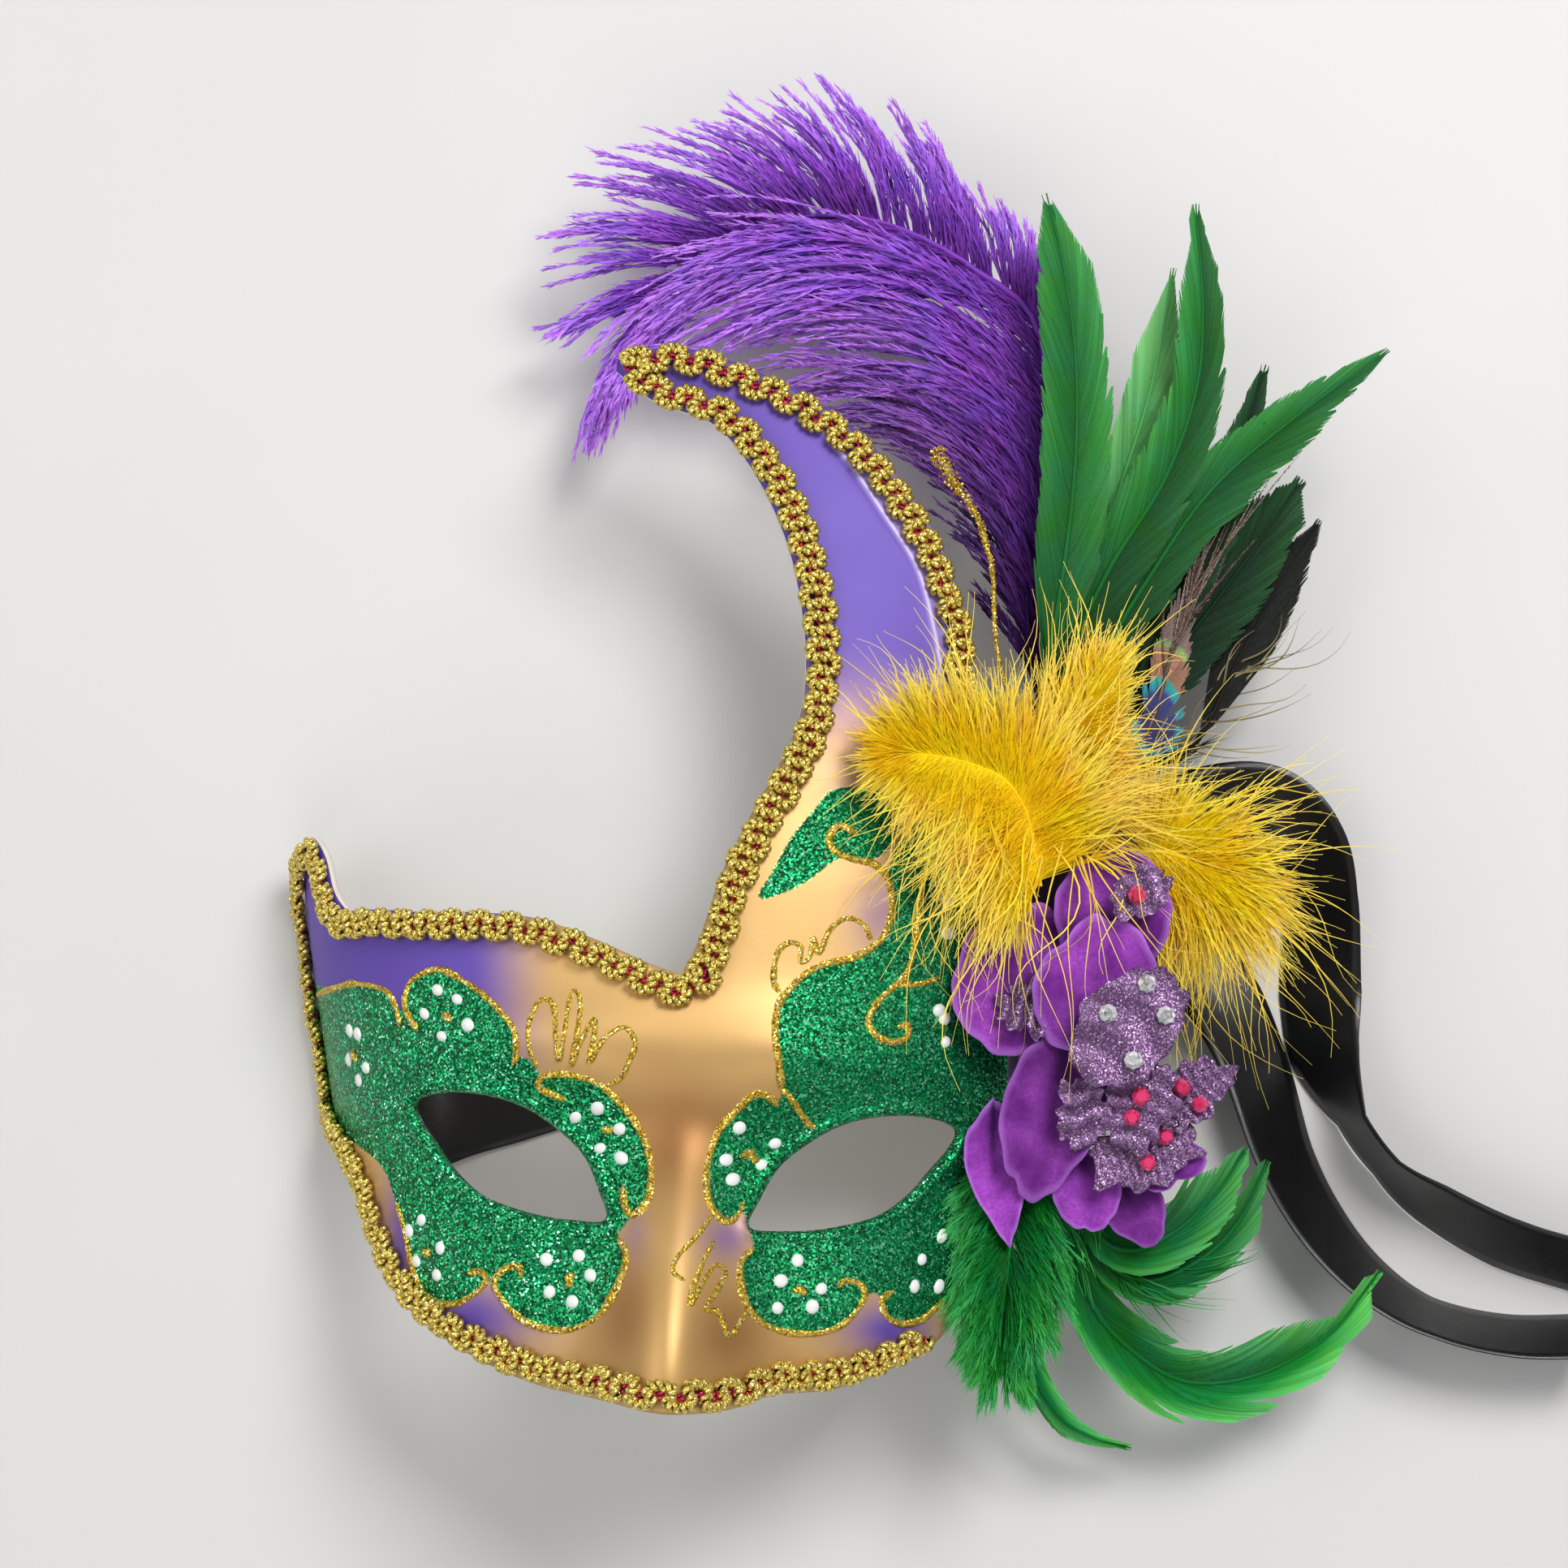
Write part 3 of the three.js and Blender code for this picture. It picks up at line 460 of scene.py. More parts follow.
def noise_value(mat, value, to_low, to_high):
    """A noise's usual range, spread between two values."""
    return spread_value(mat, value, 0.3, 0.7, to_low, to_high)


def bump(mat, height, depth):
    return add(mat, "Bump", {"Height": height, "Strength": 1.0, "Distance": depth * MM}).outputs["Normal"]


def flakes(mat, grain, stops, tilt):
    """Colour and normal of a bed of tilted glitter flakes; the lightest colours of the stops are painted
    glints.
    """
    cells = add(mat, "TexVoronoi", {"Vector": place_of(mat), "Scale": 1 / (grain * MM)})
    chance = add(mat, "SeparateColor", {0: cells.outputs["Color"]}).outputs[0]
    colour = ramp(mat, chance, stops)
    middle = add(mat, "VectorMath", {0: cells.outputs["Color"], 1: (0.5, 0.5, 0.5)}, operation="SUBTRACT")
    swing = add(mat, "VectorMath", {0: middle.outputs[0], 3: tilt}, operation="SCALE")
    surface = add(mat, "NewGeometry", {}).outputs["Normal"]
    turned = add(mat, "VectorMath", {0: surface, 1: swing.outputs[0]}, operation="ADD")
    normal = add(mat, "VectorMath", {0: turned.outputs[0]}, operation="NORMALIZE").outputs[0]
    return colour, normal


# Flake colours from dark to light; the near-white end is painted glint on single flakes
GREEN_FLAKES_AND_GLINTS = [(0.0, rgb(0, 54, 30)), (0.45, rgb(0, 114, 62)), (0.75, rgb(8, 172, 98)),
                (0.93, rgb(70, 228, 150)), (1.0, rgb(190, 252, 220))]
GOLD_FLAKES_AND_GLINTS = [(0.0, rgb(150, 108, 18)), (0.4, rgb(214, 172, 42)), (0.8, rgb(246, 218, 88)),
               (1.0, rgb(255, 250, 200))]
LILAC_FLAKES_AND_GLINTS = [(0.0, rgb(88, 54, 98)), (0.5, rgb(132, 90, 140)), (0.85, rgb(170, 128, 178)),
                (0.96, rgb(222, 194, 228)), (1.0, rgb(255, 248, 255))]


def mask_paint():
    """Airbrushed gold and purple with painted shade and a painted highlight, and green glitter where the
    field attribute is above zero.
    """
    mat = new_material("mask_paint", IOR=1.45)
    mottled = mix_colour(mat, noise(mat, 14, 2), rgb(222, 182, 118), rgb(210, 166, 100))
    # Painted shade: the bronze attribute darkens the gold, partly bronze airbrush and partly shade in the
    # hollows
    gold = mix_colour(mat, attribute(mat, "bronze"), mottled, rgb(138, 86, 38))
    purple = mix_colour(mat, noise(mat, 22, 2), rgb(88, 60, 162), rgb(106, 80, 176))
    misted = mix_colour(mat, attribute(mat, "purple"), gold, purple)
    # Painted highlight: a pale band and a pale line along the crest's fold
    painted = mix_colour(mat, attribute(mat, "fold_highlight"), misted, rgb(206, 190, 236))
    green, flake_normal = flakes(mat, 0.38, GREEN_FLAKES_AND_GLINTS, 0.85)
    field = spread_value(mat, attribute(mat, "field"), -0.25, 0.25, 0.0, 1.0)
    metal = spread_value(mat, attribute(mat, "purple"), 0, 1, 0.45, 0.12)
    gloss = spread_value(mat, attribute(mat, "purple"), 0, 1, 0.46, 0.5)
    flat_normal = bump(mat, noise(mat, 1.3, 2), 0.012)
    shade(mat, Base_Color=mix_colour(mat, field, painted, green),
          Metallic=mix_value(mat, field, metal, 0.68),
          Roughness=mix_value(mat, field, gloss, 0.3),
          Normal=mix_vector(mat, field, flat_normal, flake_normal))
    return mat


def bare_plastic():
    mat = new_material("bare_plastic")
    cloud = noise(mat, 6)
    tone = mix_colour(mat, cloud, rgb(236, 230, 218), rgb(222, 212, 198))
    shade(mat, Base_Color=tone, Roughness=noise_value(mat, cloud, 0.38, 0.54),
          Normal=bump(mat, noise(mat, 0.8), 0.02))
    return mat


def glitter(name, grain, stops, tilt, metal, fold_shade=None):
    """A bed of flakes, with painted shade in the low folds that the fold attribute marks."""
    mat = new_material(name, Metallic=metal)
    colour, normal = flakes(mat, grain, stops, tilt)
    dusty = noise_value(mat, noise(mat, 3), 0.22, 0.36)
    if fold_shade is not None:
        # Painted shade in the low folds
        colour = mix_colour(mat, attribute(mat, "fold"), colour, fold_shade)
    shade(mat, Base_Color=colour, Roughness=dusty, Normal=normal)
    return mat


def white_enamel():
    mat = new_material("white_enamel")
    cloud = noise(mat, 1.2)
    tone = mix_colour(mat, cloud, rgb(250, 250, 246), rgb(226, 228, 222))
    shade(mat, Base_Color=tone, Roughness=noise_value(mat, cloud, 0.24, 0.4),
          Normal=bump(mat, noise(mat, 0.7), 0.05))
    return mat


def metal_thread(name, dark, light, wind):
    """Flat metal strip wound round a core: wind is millimetres along the thread for each turn."""
    mat = new_material(name, Metallic=0.75)
    rate = 2 * math.pi / wind
    turns = add(mat, "Math", {0: attribute(mat, "wind"), 1: rate}, operation="MULTIPLY").outputs[0]
    ridge = add(mat, "Math", {0: turns}, operation="SINE").outputs[0]
    # Painted shade between the turns of the strip and painted highlight on them
    tone = mix_colour(mat, spread_value(mat, ridge, -1, 1, 0, 1), dark, light)
    patchy = mix_colour(mat, noise(mat, 1.6), tone, light)
    # Painted shade where the cord's strands lie against each other
    grooved = mix_colour(mat, attribute(mat, "groove"), patchy, rgb(40, 26, 6))
    shade(mat, Base_Color=grooved, Roughness=spread_value(mat, ridge, -1, 1, 0.3, 0.16),
          Normal=bump(mat, ridge, 0.12))
    return mat


def barb_fibre(mat):
    """Fine hairs across each barb."""
    barb = add(mat, "CombineXYZ", {0: attribute(mat, "strand"), 1: attribute(mat, "along")}).outputs[0]
    stretched = add(mat, "VectorMath", {0: barb, 1: (300, 40, 1)}, operation="MULTIPLY").outputs[0]
    return add(mat, "TexNoise", {"Vector": stretched, "Scale": 1.0, "Detail": 2.0}).outputs["Fac"]


def feather_barbs(name, root, middle, tip, spread, base=None):
    """Colour runs from root to tip along each barb, and from base to tip of the whole feather."""
    mat = new_material(name, Specular_IOR_Level=0.15, Sheen_Weight=0.1, Sheen_Roughness=0.4, Sheen_Tint=tip)
    colour = ramp(mat, attribute(mat, "along"), [(0.0, root), (0.45, middle), (1.0, tip)])
    if base is not None:
        # Toward the feather's foot: painted shade on the plume, darker towards the foot on the green feathers
        down = spread_value(mat, attribute(mat, "rank"), 0.05, 0.45, 1.0, 0.0)
        colour = mix_colour(mat, down, colour, base)
    lightness = spread_value(mat, attribute(mat, "strand"), 0, 1, 1 - spread, 1 + spread)
    # tone is painted light and shade on each side of a vane's web; on other strands it is 1
    value = add(mat, "Math", {0: lightness, 1: attribute(mat, "tone")}, operation="MULTIPLY").outputs[0]
    hue = noise_value(mat, noise(mat, 9, 2), 0.485, 0.515)
    varied = add(mat, "HueSaturation", {"Hue": hue, "Value": value, "Color": colour}).outputs["Color"]
    fibre = barb_fibre(mat)
    shade(mat, Base_Color=varied, Roughness=noise_value(mat, fibre, 0.5, 0.72),
          Normal=bump(mat, fibre, 0.05))
    return mat


def peacock_barbs():
    """The eye of the feather by distance from its middle: blue, then green, then bronze."""
    mat = new_material("peacock_barbs", Metallic=0.35)
    rings = ramp(mat, attribute(mat, "ring"),
                 [(0.0, rgb(16, 18, 70)), (0.3, rgb(24, 30, 104)), (0.36, rgb(0, 120, 140)),
                  (0.43, rgb(0, 140, 130)), (0.48, rgb(128, 86, 62)), (0.74, rgb(136, 92, 68)),
                  (0.8, rgb(112, 146, 72)), (0.88, rgb(104, 80, 72)), (1.0, rgb(98, 76, 68))])
    value = spread_value(mat, attribute(mat, "strand"), 0, 1, 0.6, 1.35)
    varied = add(mat, "HueSaturation", {"Value": value, "Color": rings}).outputs["Color"]
    fibre = barb_fibre(mat)
    shade(mat, Base_Color=varied, Roughness=noise_value(mat, fibre, 0.32, 0.5),
          Normal=bump(mat, fibre, 0.05))
    return mat


def velvet():
    mat = new_material("petal_velvet", Specular_IOR_Level=0.2, Sheen_Weight=0.5, Sheen_Roughness=0.4,
                       Sheen_Tint=rgb(206, 140, 240))
    brushed = spread_value(mat, noise(mat, 7, 5), 0.34, 0.66, 0, 1)
    pile = mix_colour(mat, brushed, rgb(100, 28, 122), rgb(162, 74, 186))
    nap = noise_value(mat, noise(mat, 0.7, 3), 0, 0.6)
    mottled = mix_colour(mat, nap, pile, rgb(112, 38, 134))
    # Painted shade along the middle crease and toward the root of each petal
    crease_shaded = mix_colour(mat, attribute(mat, "fold"), mottled, rgb(54, 12, 78))
    # Lighter rim: partly the cut edge's own colour, partly painted sheen
    rim = spread_value(mat, attribute(mat, "edge"), 0, 1, 0, 0.6)
    rim_and_sheen = mix_colour(mat, rim, crease_shaded, rgb(190, 126, 224))
    toned = add(mat, "HueSaturation", {"Value": attribute(mat, "tone"), "Color": rim_and_sheen}).outputs["Color"]
    shade(mat, Base_Color=toned, Roughness=spread_value(mat, nap, 0, 0.6, 0.78, 0.95),
          Normal=bump(mat, noise(mat, 0.45, 3), 0.16))
    return mat


def cut_glass(name, dark, light):
    mat = new_material(name, Metallic=0.25, Coat_Weight=1.0, Coat_Roughness=0.02)
    # Painted reflections: each facet's random lightness between dark and light
    tone = mix_colour(mat, attribute(mat, "facet"), dark, light)
    haze = noise(mat, 0.8)
    cloud = mix_colour(mat, spread_value(mat, haze, 0.35, 0.65, 0, 0.6), tone, light)
    shade(mat, Base_Color=cloud, Roughness=noise_value(mat, haze, 0.05, 0.14),
          Normal=bump(mat, haze, 0.01))
    return mat


def satin():
    """Smooth satin whose fine threads run along the ribbon."""
    mat = new_material("black_satin", Specular_IOR_Level=0.5, Anisotropic=0.4, Sheen_Weight=0.1,
                       Sheen_Roughness=0.3)
    weave = add(mat, "CombineXYZ", {0: attribute(mat, "wind"), 1: attribute(mat, "side")}).outputs[0]
    stretched = add(mat, "VectorMath", {0: weave, 1: (0.4, 6.0, 1.0)}, operation="MULTIPLY").outputs[0]
    threads = add(mat, "TexNoise", {"Vector": stretched, "Scale": 1.0, "Detail": 2.0}).outputs["Fac"]
    tone = mix_colour(mat, threads, rgb(8, 8, 9), rgb(22, 22, 23))
    gloss = noise_value(mat, noise(mat, 11), 0.26, 0.38)
    shade(mat, Base_Color=tone, Roughness=gloss, Normal=bump(mat, threads, 0.03))
    return mat


def felt():
    mat = new_material("felt", Sheen_Weight=0.3)
    wool = noise(mat, 0.9, 5)
    tone = mix_colour(mat, wool, rgb(46, 30, 62), rgb(74, 52, 96))
    shade(mat, Base_Color=tone, Roughness=noise_value(mat, wool, 0.85, 1.0),
          Normal=bump(mat, noise(mat, 0.5, 4), 0.2))
    return mat


# Meshes

def piece(name, points, faces, materials, slot, nodes=(), data=None, smooth=True, flat_map=None, second=None):
    """One object of the mask, in place. faces is a list of arrays of corners, each of one size."""
    corners = np.concatenate([group.ravel() for group in faces]).astype(np.int32)
    sizes = np.concatenate([np.full(len(group), group.shape[1]) for group in faces])
    mesh = bpy.data.meshes.new(name)
    mesh.vertices.add(len(points))
    mesh.vertices.foreach_set("co", ((np.asarray(points) + FACE_AXIS) * MM).astype(np.float32).ravel())
    mesh.loops.add(len(corners))
    mesh.loops.foreach_set("vertex_index", corners)
    mesh.polygons.add(len(sizes))
    mesh.polygons.foreach_set("loop_start", (np.cumsum(sizes) - sizes).astype(np.int32))
    mesh.update(calc_edges=True)
    for key, values in (data or {}).items():
        domain = "POINT" if len(values) == len(points) else "FACE"
        layer = mesh.attributes.new(key, "FLOAT", domain)
        layer.data.foreach_set("value", np.asarray(values, np.float32))
    if flat_map is not None:
        layer = mesh.uv_layers.new(name="OFBake")
        layer.data.foreach_set("uv", flat_map[corners].astype(np.float32).ravel())
    for material in materials if isinstance(materials, list) else [materials]:
        mesh.materials.append(material)
    if second is not None:
        mesh.polygons.foreach_set("material_index", second.astype(np.int32))
    mesh.polygons.foreach_set("use_smooth", np.full(len(sizes), smooth))
    obj = bpy.data.objects.new(name, mesh)
    bpy.context.scene.collection.objects.link(obj)
    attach(obj, "root")
    if nodes:
        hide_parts(*nodes)
    return obj


def ring_faces(rings, size, closed=True):
    """Quads between rings of equal size, numbered one after another."""
    around = np.arange(size if closed else size - 1)
    low = np.arange(rings - 1)[:, None] * size
    a = low + around
    b = low + (around + 1) % size
    return np.stack([a, b, b + size, a + size], axis=-1).reshape(-1, 4)


def tube(path, radii, sides):
    """Points and quads of a round tube along a path."""
    way = unit(np.gradient(path, axis=0))
    across = unit(np.cross(way, UP))
    rise = np.cross(across, way)
    angles = np.linspace(0, 2 * math.pi, sides, endpoint=False)
    around = np.cos(angles)[:, None] * across[:, None] + np.sin(angles)[:, None] * rise[:, None]
    points = path[:, None] + around * np.broadcast_to(radii, len(path))[:, None, None]
    return points.reshape(-1, 3), ring_faces(len(path), sides)


class Parts:
    """Several point and face arrays gathered into one mesh."""

    def __init__(self):
        self.points, self.faces, self.data, self.total = [], [], {}, 0

    def add(self, points, faces, **data):
        self.points.append(points)
        self.faces.append(faces + self.total)
        for key, values in data.items():
            self.data.setdefault(key, []).append(np.broadcast_to(values, len(points)))
        self.total += len(points)

    def made(self, name, materials, slot, nodes=(), **options):
        data = {key: np.concatenate(values) for key, values in self.data.items()}
        piece(name, np.vstack(self.points), self.faces, materials, slot, nodes, data, **options)


class Strands(Parts):
    """Thin blades and quills of a feather. Each blade has one column of the flat map."""

    def blades(self, paths, across, widths, rng, rank, ring=0.0, along=None, tone=1.0):
        count, steps = widths.shape
        halves = across[:, :, None] * np.array([-0.5, 0.5])[:, None]
        sides = paths[:, :, None] + halves * widths[..., None, None]
        start = np.arange(count)[:, None] * 2 * steps + np.arange(steps - 1) * 2
        faces = np.stack([start, start + 1, start + 3, start + 2], axis=-1).reshape(-1, 4)
        column = rng.integers(0, MAP_COLUMNS, count)
        each = np.ones((count, steps, 2))
        share = np.linspace(0, 1, steps) if along is None else along
        along = each * np.broadcast_to(share, (count, steps))[..., None]
        edge = each * np.array([0.2, 0.8])
        self.add(sides.reshape(-1, 3), faces,
                 along=along.ravel(),
                 strand=(each * (column[:, None, None] + 0.5) / MAP_COLUMNS).ravel(),
                 rank=(each * np.asarray(rank)[:, None, None]).ravel(),
                 ring=(each * np.broadcast_to(ring, (count, steps))[..., None]).ravel(),
                 tone=tone,
                 map_x=((each * column[:, None, None] + edge) / MAP_COLUMNS).ravel(),
                 map_y=(0.02 + 0.96 * along).ravel())

    def quill(self, line, radii):
        share = np.linspace(0, 1, QUILL_STEPS)
        points, faces = tube(line.at(share), row_value(radii, share), QUILL_SIDES)
        along = np.repeat(np.linspace(0, 0.3, QUILL_STEPS), QUILL_SIDES)
        edge = np.tile(np.linspace(0.15, 0.85, QUILL_SIDES), QUILL_STEPS)
        self.add(points, faces, along=along, strand=(QUILL_COLUMN + 0.5) / MAP_COLUMNS, rank=1.0, ring=1.0,
                 tone=1.0, map_x=(QUILL_COLUMN + edge) / MAP_COLUMNS, map_y=0.02 + 0.96 * along)

    def feather(self, name, material, slot):
        columns = [np.concatenate(self.data.pop(key)) for key in ("map_x", "map_y")]
        self.made(name + "_barbs", material, slot, (name,), flat_map=np.stack(columns, axis=-1))


# Plane geometry on the unrolled face

def inside(points, ring):
    """Which points lie inside a closed ring."""
    found = np.zeros(len(points), bool)
    x, y = points[:, 0], points[:, 1]
    for (x0, y0), (x1, y1) in zip(ring, np.roll(ring, -1, axis=0)):
        if y0 != y1:
            crosses = (y0 > y) != (y1 > y)
            found ^= crosses & (x < (x1 - x0) * (y - y0) / (y1 - y0) + x0)
    return found


def distance(points, line):
    """Distance of each point from a line of short straight steps."""
    best = np.full(len(points), 1e9)
    for a, b in zip(line, line[1:]):
        way = b - a
        share = np.clip(((points - a) @ way) / max(way @ way, 1e-12), 0, 1)
        best = np.minimum(best, np.linalg.norm(points - a - share[:, None] * way, axis=1))
    return best


def closed_line(ring):
    return np.vstack([ring, ring[:1]])


OUTLINE = np.vstack([Line(points).spaced(1.0)[:-1] for points in EDGES.values()])
COARSE_OUTLINE = OUTLINE[::4]
EYES = [Line([(side * u, v) for u, v in EYE_EDGE], closed=True).spaced(0.7)[:-1] for side in (-1, 1)]


def mist(spots, points):
    amount = np.zeros(len(points))
    for spot in spots:
        away_u, away_v = points[:, 0] - spot["u"], points[:, 1] - spot["v"]
        patch = spot["strength"] * hill(away_u, away_v, spot["wide"], spot["high"])
        amount = np.maximum(amount, patch)
    return amount


# Shell

def shell_points():
    """Points of the unrolled shell: its outline, rings round the eyes and an even grid between."""
    columns = np.arange(-TEMPLE_U, TEMPLE_U, SHELL_GRID)
    rows = np.arange(SHELL_FOOT, SHELL_TOP, SHELL_GRID * SHELL_ROW)
    u, v = np.meshgrid(columns, rows)
    u = u + SHELL_GRID / 2 * (np.arange(len(rows)) % 2)[:, None]
    grid = np.stack([u.ravel(), v.ravel()], axis=-1)
    grid = grid[inside(grid, COARSE_OUTLINE)]
    grid = grid[distance(grid, closed_line(OUTLINE)) > OUTLINE_CLEAR]
    rings = []
    for eye in EYES:
        grid = grid[~inside(grid, eye)]
        grid = grid[distance(grid, closed_line(eye)) > EYE_CLEAR]
        way = unit(np.roll(eye, -1, axis=0) - np.roll(eye, 1, axis=0))
        out = -left_of(way)
        if inside(eye[:1] + 0.3 * out[:1], eye)[0]:
            out = -out
        rings += [eye + out * reach for reach in EYE_RINGS]
    fold = Line(CREST_FOLD).spaced(0.8)
    grid = grid[distance(grid, fold) > FOLD_CLEAR]
    way = unit(np.gradient(fold, axis=0))
    side = left_of(way)
    rings += [fold + side * reach for reach in FOLD_ROWS]
    return np.vstack([OUTLINE, *EYES, *rings, grid])


def shell_triangles(points):
    """Triangles between the points, with the outline and the eye edges kept."""
    kept, first = [], 0
    for ring in (OUTLINE, *EYES):
        kept += [(first + i, first + (i + 1) % len(ring)) for i in range(len(ring))]
        first += len(ring)
    flat, _, faces, *_ = delaunay_2d_cdt([Vector(p) for p in points], kept, [], 0, 1e-5)
    flat = np.array([tuple(p) for p in flat])
    faces = np.array(faces)
    middles = flat[faces].mean(axis=1)
    stays = inside(middles, OUTLINE)
    for eye in EYES:
        stays &= ~inside(middles, eye)
    return flat, faces[stays]


def rim_edges(faces):
    """Edges that only one triangle has, in its own direction."""
    edges = np.vstack([faces[:, [0, 1]], faces[:, [1, 2]], faces[:, [2, 0]]])
    _, first, count = np.unique(np.sort(edges, axis=1), axis=0, return_index=True, return_counts=True)
    return edges[first[count == 1]]


def mask_shell(paint, plastic):
    flat, faces = shell_triangles(shell_points())
    eye_gap = np.minimum(*[distance(flat, closed_line(eye)) for eye in EYES])
    edge_gap = distance(flat, closed_line(OUTLINE))
    fold_gap = distance(flat, Line(CREST_FOLD).spaced(1.0))
    lip = EYE_LIP_HEIGHT * np.exp(-(((eye_gap - EYE_LIP_REACH) / EYE_LIP_SPREAD) ** 2))
    rolled = -EDGE_ROLL * np.clip(1 - edge_gap / EDGE_ROLL_REACH, 0, 1)
    rolled = rolled - EYE_ROLL * np.clip(1 - eye_gap / EYE_ROLL_REACH, 0, 1)
    ridge = FOLD_RIDGE * np.exp(-((fold_gap / FOLD_RIDGE_SPREAD) ** 2))
    field = np.full(len(flat), -FIELD_REACH)
    for outline in FIELDS:
        ring = Line(outline, closed=True).spaced(0.8)[:-1]
        side = np.where(inside(flat, ring), 1, -1)
        depth = np.clip(side * distance(flat, closed_line(ring)), -FIELD_REACH, FIELD_REACH)
        field = np.maximum(field, depth)
    u, v = flat.T
    crest = smooth_step(*CREST_PURPLE_V, v)
    brow = smooth_step(*BROW_PURPLE_U, u) * smooth_step(*BROW_PURPLE_V, v) * (v < BROW_PURPLE_TOP)
    purple = np.maximum.reduce([crest, brow, mist(PURPLE_MIST, flat)])
    # Painted highlight along the crest's fold: a pale band outside it and a pale line on it
    fold_u = np.interp(v, *np.array(sorted((high, across) for across, high in CREST_FOLD)).T)
    outer = smooth_step(-0.5, 0.5, u - fold_u) * smooth_step(*FOLD_HIGHLIGHT_FOOT_V, v)
    outer *= smooth_step(*FOLD_HIGHLIGHT_TOP_V, v)
    fold_highlight_line = np.exp(-((fold_gap / FOLD_HIGHLIGHT_LINE_SPREAD) ** 2)) * smooth_step(*FOLD_HIGHLIGHT_LINE_V, v)
    fold_highlight = np.maximum(FOLD_HIGHLIGHT_TINT * outer, fold_highlight_line)
    outside = on_face(u, v, lip + rolled + ridge)
    within = on_face(u, v, 0.5 * lip - WALL)
    count = len(flat)
    rim = rim_edges(faces)
    walls = np.stack([rim[:, 0], rim[:, 0] + count, rim[:, 1] + count, rim[:, 1]], axis=-1)
    outer_wall = eye_gap[rim].max(axis=1) > 0.1
    bare = np.concatenate([np.zeros(len(faces)), np.ones(len(faces)), outer_wall])
    # The bronze patches are partly painted shade, and the pale band by the crest's fold is painted highlight
    data = {"field": np.tile(field, 2), "purple": np.tile(purple, 2), "fold_highlight": np.tile(fold_highlight, 2),
            "bronze": np.tile(mist(BRONZE_AND_SHADE_MIST, flat), 2)}
    piece("painted_shell", np.vstack([outside, within]), [faces, faces[:, ::-1] + count, walls],
          [paint, plastic], "mask_paint", ("mask_shell",), data, second=bare)


def piped_lines(material):
    """Raised lines of glitter paint, a little uneven as piped by hand."""
    parts = Parts()
    for name, points in LINES.items():
        rng = seeded(name)
        flat = Line(points).spaced(LINE_STEP)
        way = unit(np.gradient(flat, axis=0))
        side = left_of(way)
        share = np.linspace(0, 1, len(flat))
        slow = row_value(rng.uniform(0.8, 1.2, LINE_SWELLS), share)
        thin = THIN_LINE if "squiggle" in name or "nose" in name else 1.0
        ends = np.minimum(1, np.minimum(share, 1 - share) * len(flat) / 3 + 0.25)
        half = LINE_HALF * thin * ends * slow * rng.uniform(0.86, 1.14, len(flat))
        rings = []
        for across, rise in LINE_SECTION:
            spot = flat + side * (across * half)[:, None]
            rings.append(on_face(spot[:, 0], spot[:, 1], rise * LINE_HEIGHT * half / LINE_HALF))
        faces = ring_faces(len(flat), len(LINE_SECTION), closed=False)[:, ::-1]
        parts.add(np.stack(rings, axis=1).reshape(-1, 3), faces)
    parts.made("piped_lines", material, "gold_glitter")


def dome(parts, u, v, radius, height, rng):
    """A small drop of paint on the face."""
    sides, rows = 14, 5
    stretch, lean = rng.uniform(0.86, 1.0), rng.uniform(0, math.pi)
    angles = np.linspace(0, 2 * math.pi, sides, endpoint=False)
    climb = np.linspace(0, math.pi / 2 * 0.94, rows)
    across = radius * np.cos(climb)[:, None] * np.cos(angles)
    along = radius * stretch * np.cos(climb)[:, None] * np.sin(angles)
    spot_u = u + across * math.cos(lean) - along * math.sin(lean)
    spot_v = v + across * math.sin(lean) + along * math.cos(lean)
    lift = np.broadcast_to((height * np.sin(climb) - 0.1)[:, None], spot_u.shape)
    faces = ring_faces(rows, sides)
    parts.add(on_face(spot_u, spot_v, lift).reshape(-1, 3), faces)
    top = np.arange(sides)[None] + (rows - 1) * sides + parts.total - rows * sides
    parts.faces.append(top)


def paint_dots(white, gold):
    dots, middles = Parts(), Parts()
    rng = seeded("dots")
    for flower in DOT_FLOWERS:
        for u, v in flower[:5]:
            dome(dots, u, v, DOT_RADIUS * rng.uniform(0.9, 1.12), DOT_HEIGHT, rng)
        u, v = flower[5]
        for _ in range(GRAINS):
            grain_u, grain_v = u + rng.normal(0, GRAIN_SCATTER), v + rng.normal(0, GRAIN_SCATTER)
            dome(middles, grain_u, grain_v, rng.uniform(0.7, 1.0), GRAIN_HEIGHT, rng)
    for u, v in LOOSE_DOTS:
        dome(dots, u, v, DOT_RADIUS * rng.uniform(0.9, 1.3), LOOSE_DOT_HEIGHT, rng)
    dots.made("white_dots", white, "mask_paint")
    middles.made("dot_middles", gold, "gold_glitter")


# Braid

# Where each braid runs: the edge it follows, the bare lengths at its two ends, and its insets along that edge
BRAID_RUNS = [
    {"name": "braid_crest_inner", "edge": EDGES["crest_inner"], "from": 0.8, "to": 1,
     "insets": [1.8, 2.4, 2.8, 2.8, 2.8, 2.8, 2.8, 2.8, 3.4]},
    {"name": "braid_brow", "edge": EDGES["crest_inner"][-2:] + EDGES["brow"][1:] + EDGES["horn"][1:],
     "from": 6, "to": 31, "insets": [3.8, 3, 2.8, 2.8, 2.6, 2]},
    {"name": "braid_side",
     "edge": EDGES["horn"] + EDGES["rest_left"][1:] + EDGES["side"][1:] + EDGES["bottom"][1:], "from": 23,
     "to": 9, "insets": [3.8, 4.5, 4.5, 3.8, 3.6, 3.6]},
    {"name": "braid_crest_outer", "edge": EDGES["crest_outer"], "from": 74, "to": 3,
     "insets": [3.2, 3.2, 3.2, 3.2, 3.2, 3.2, 3, 2.6]},
]


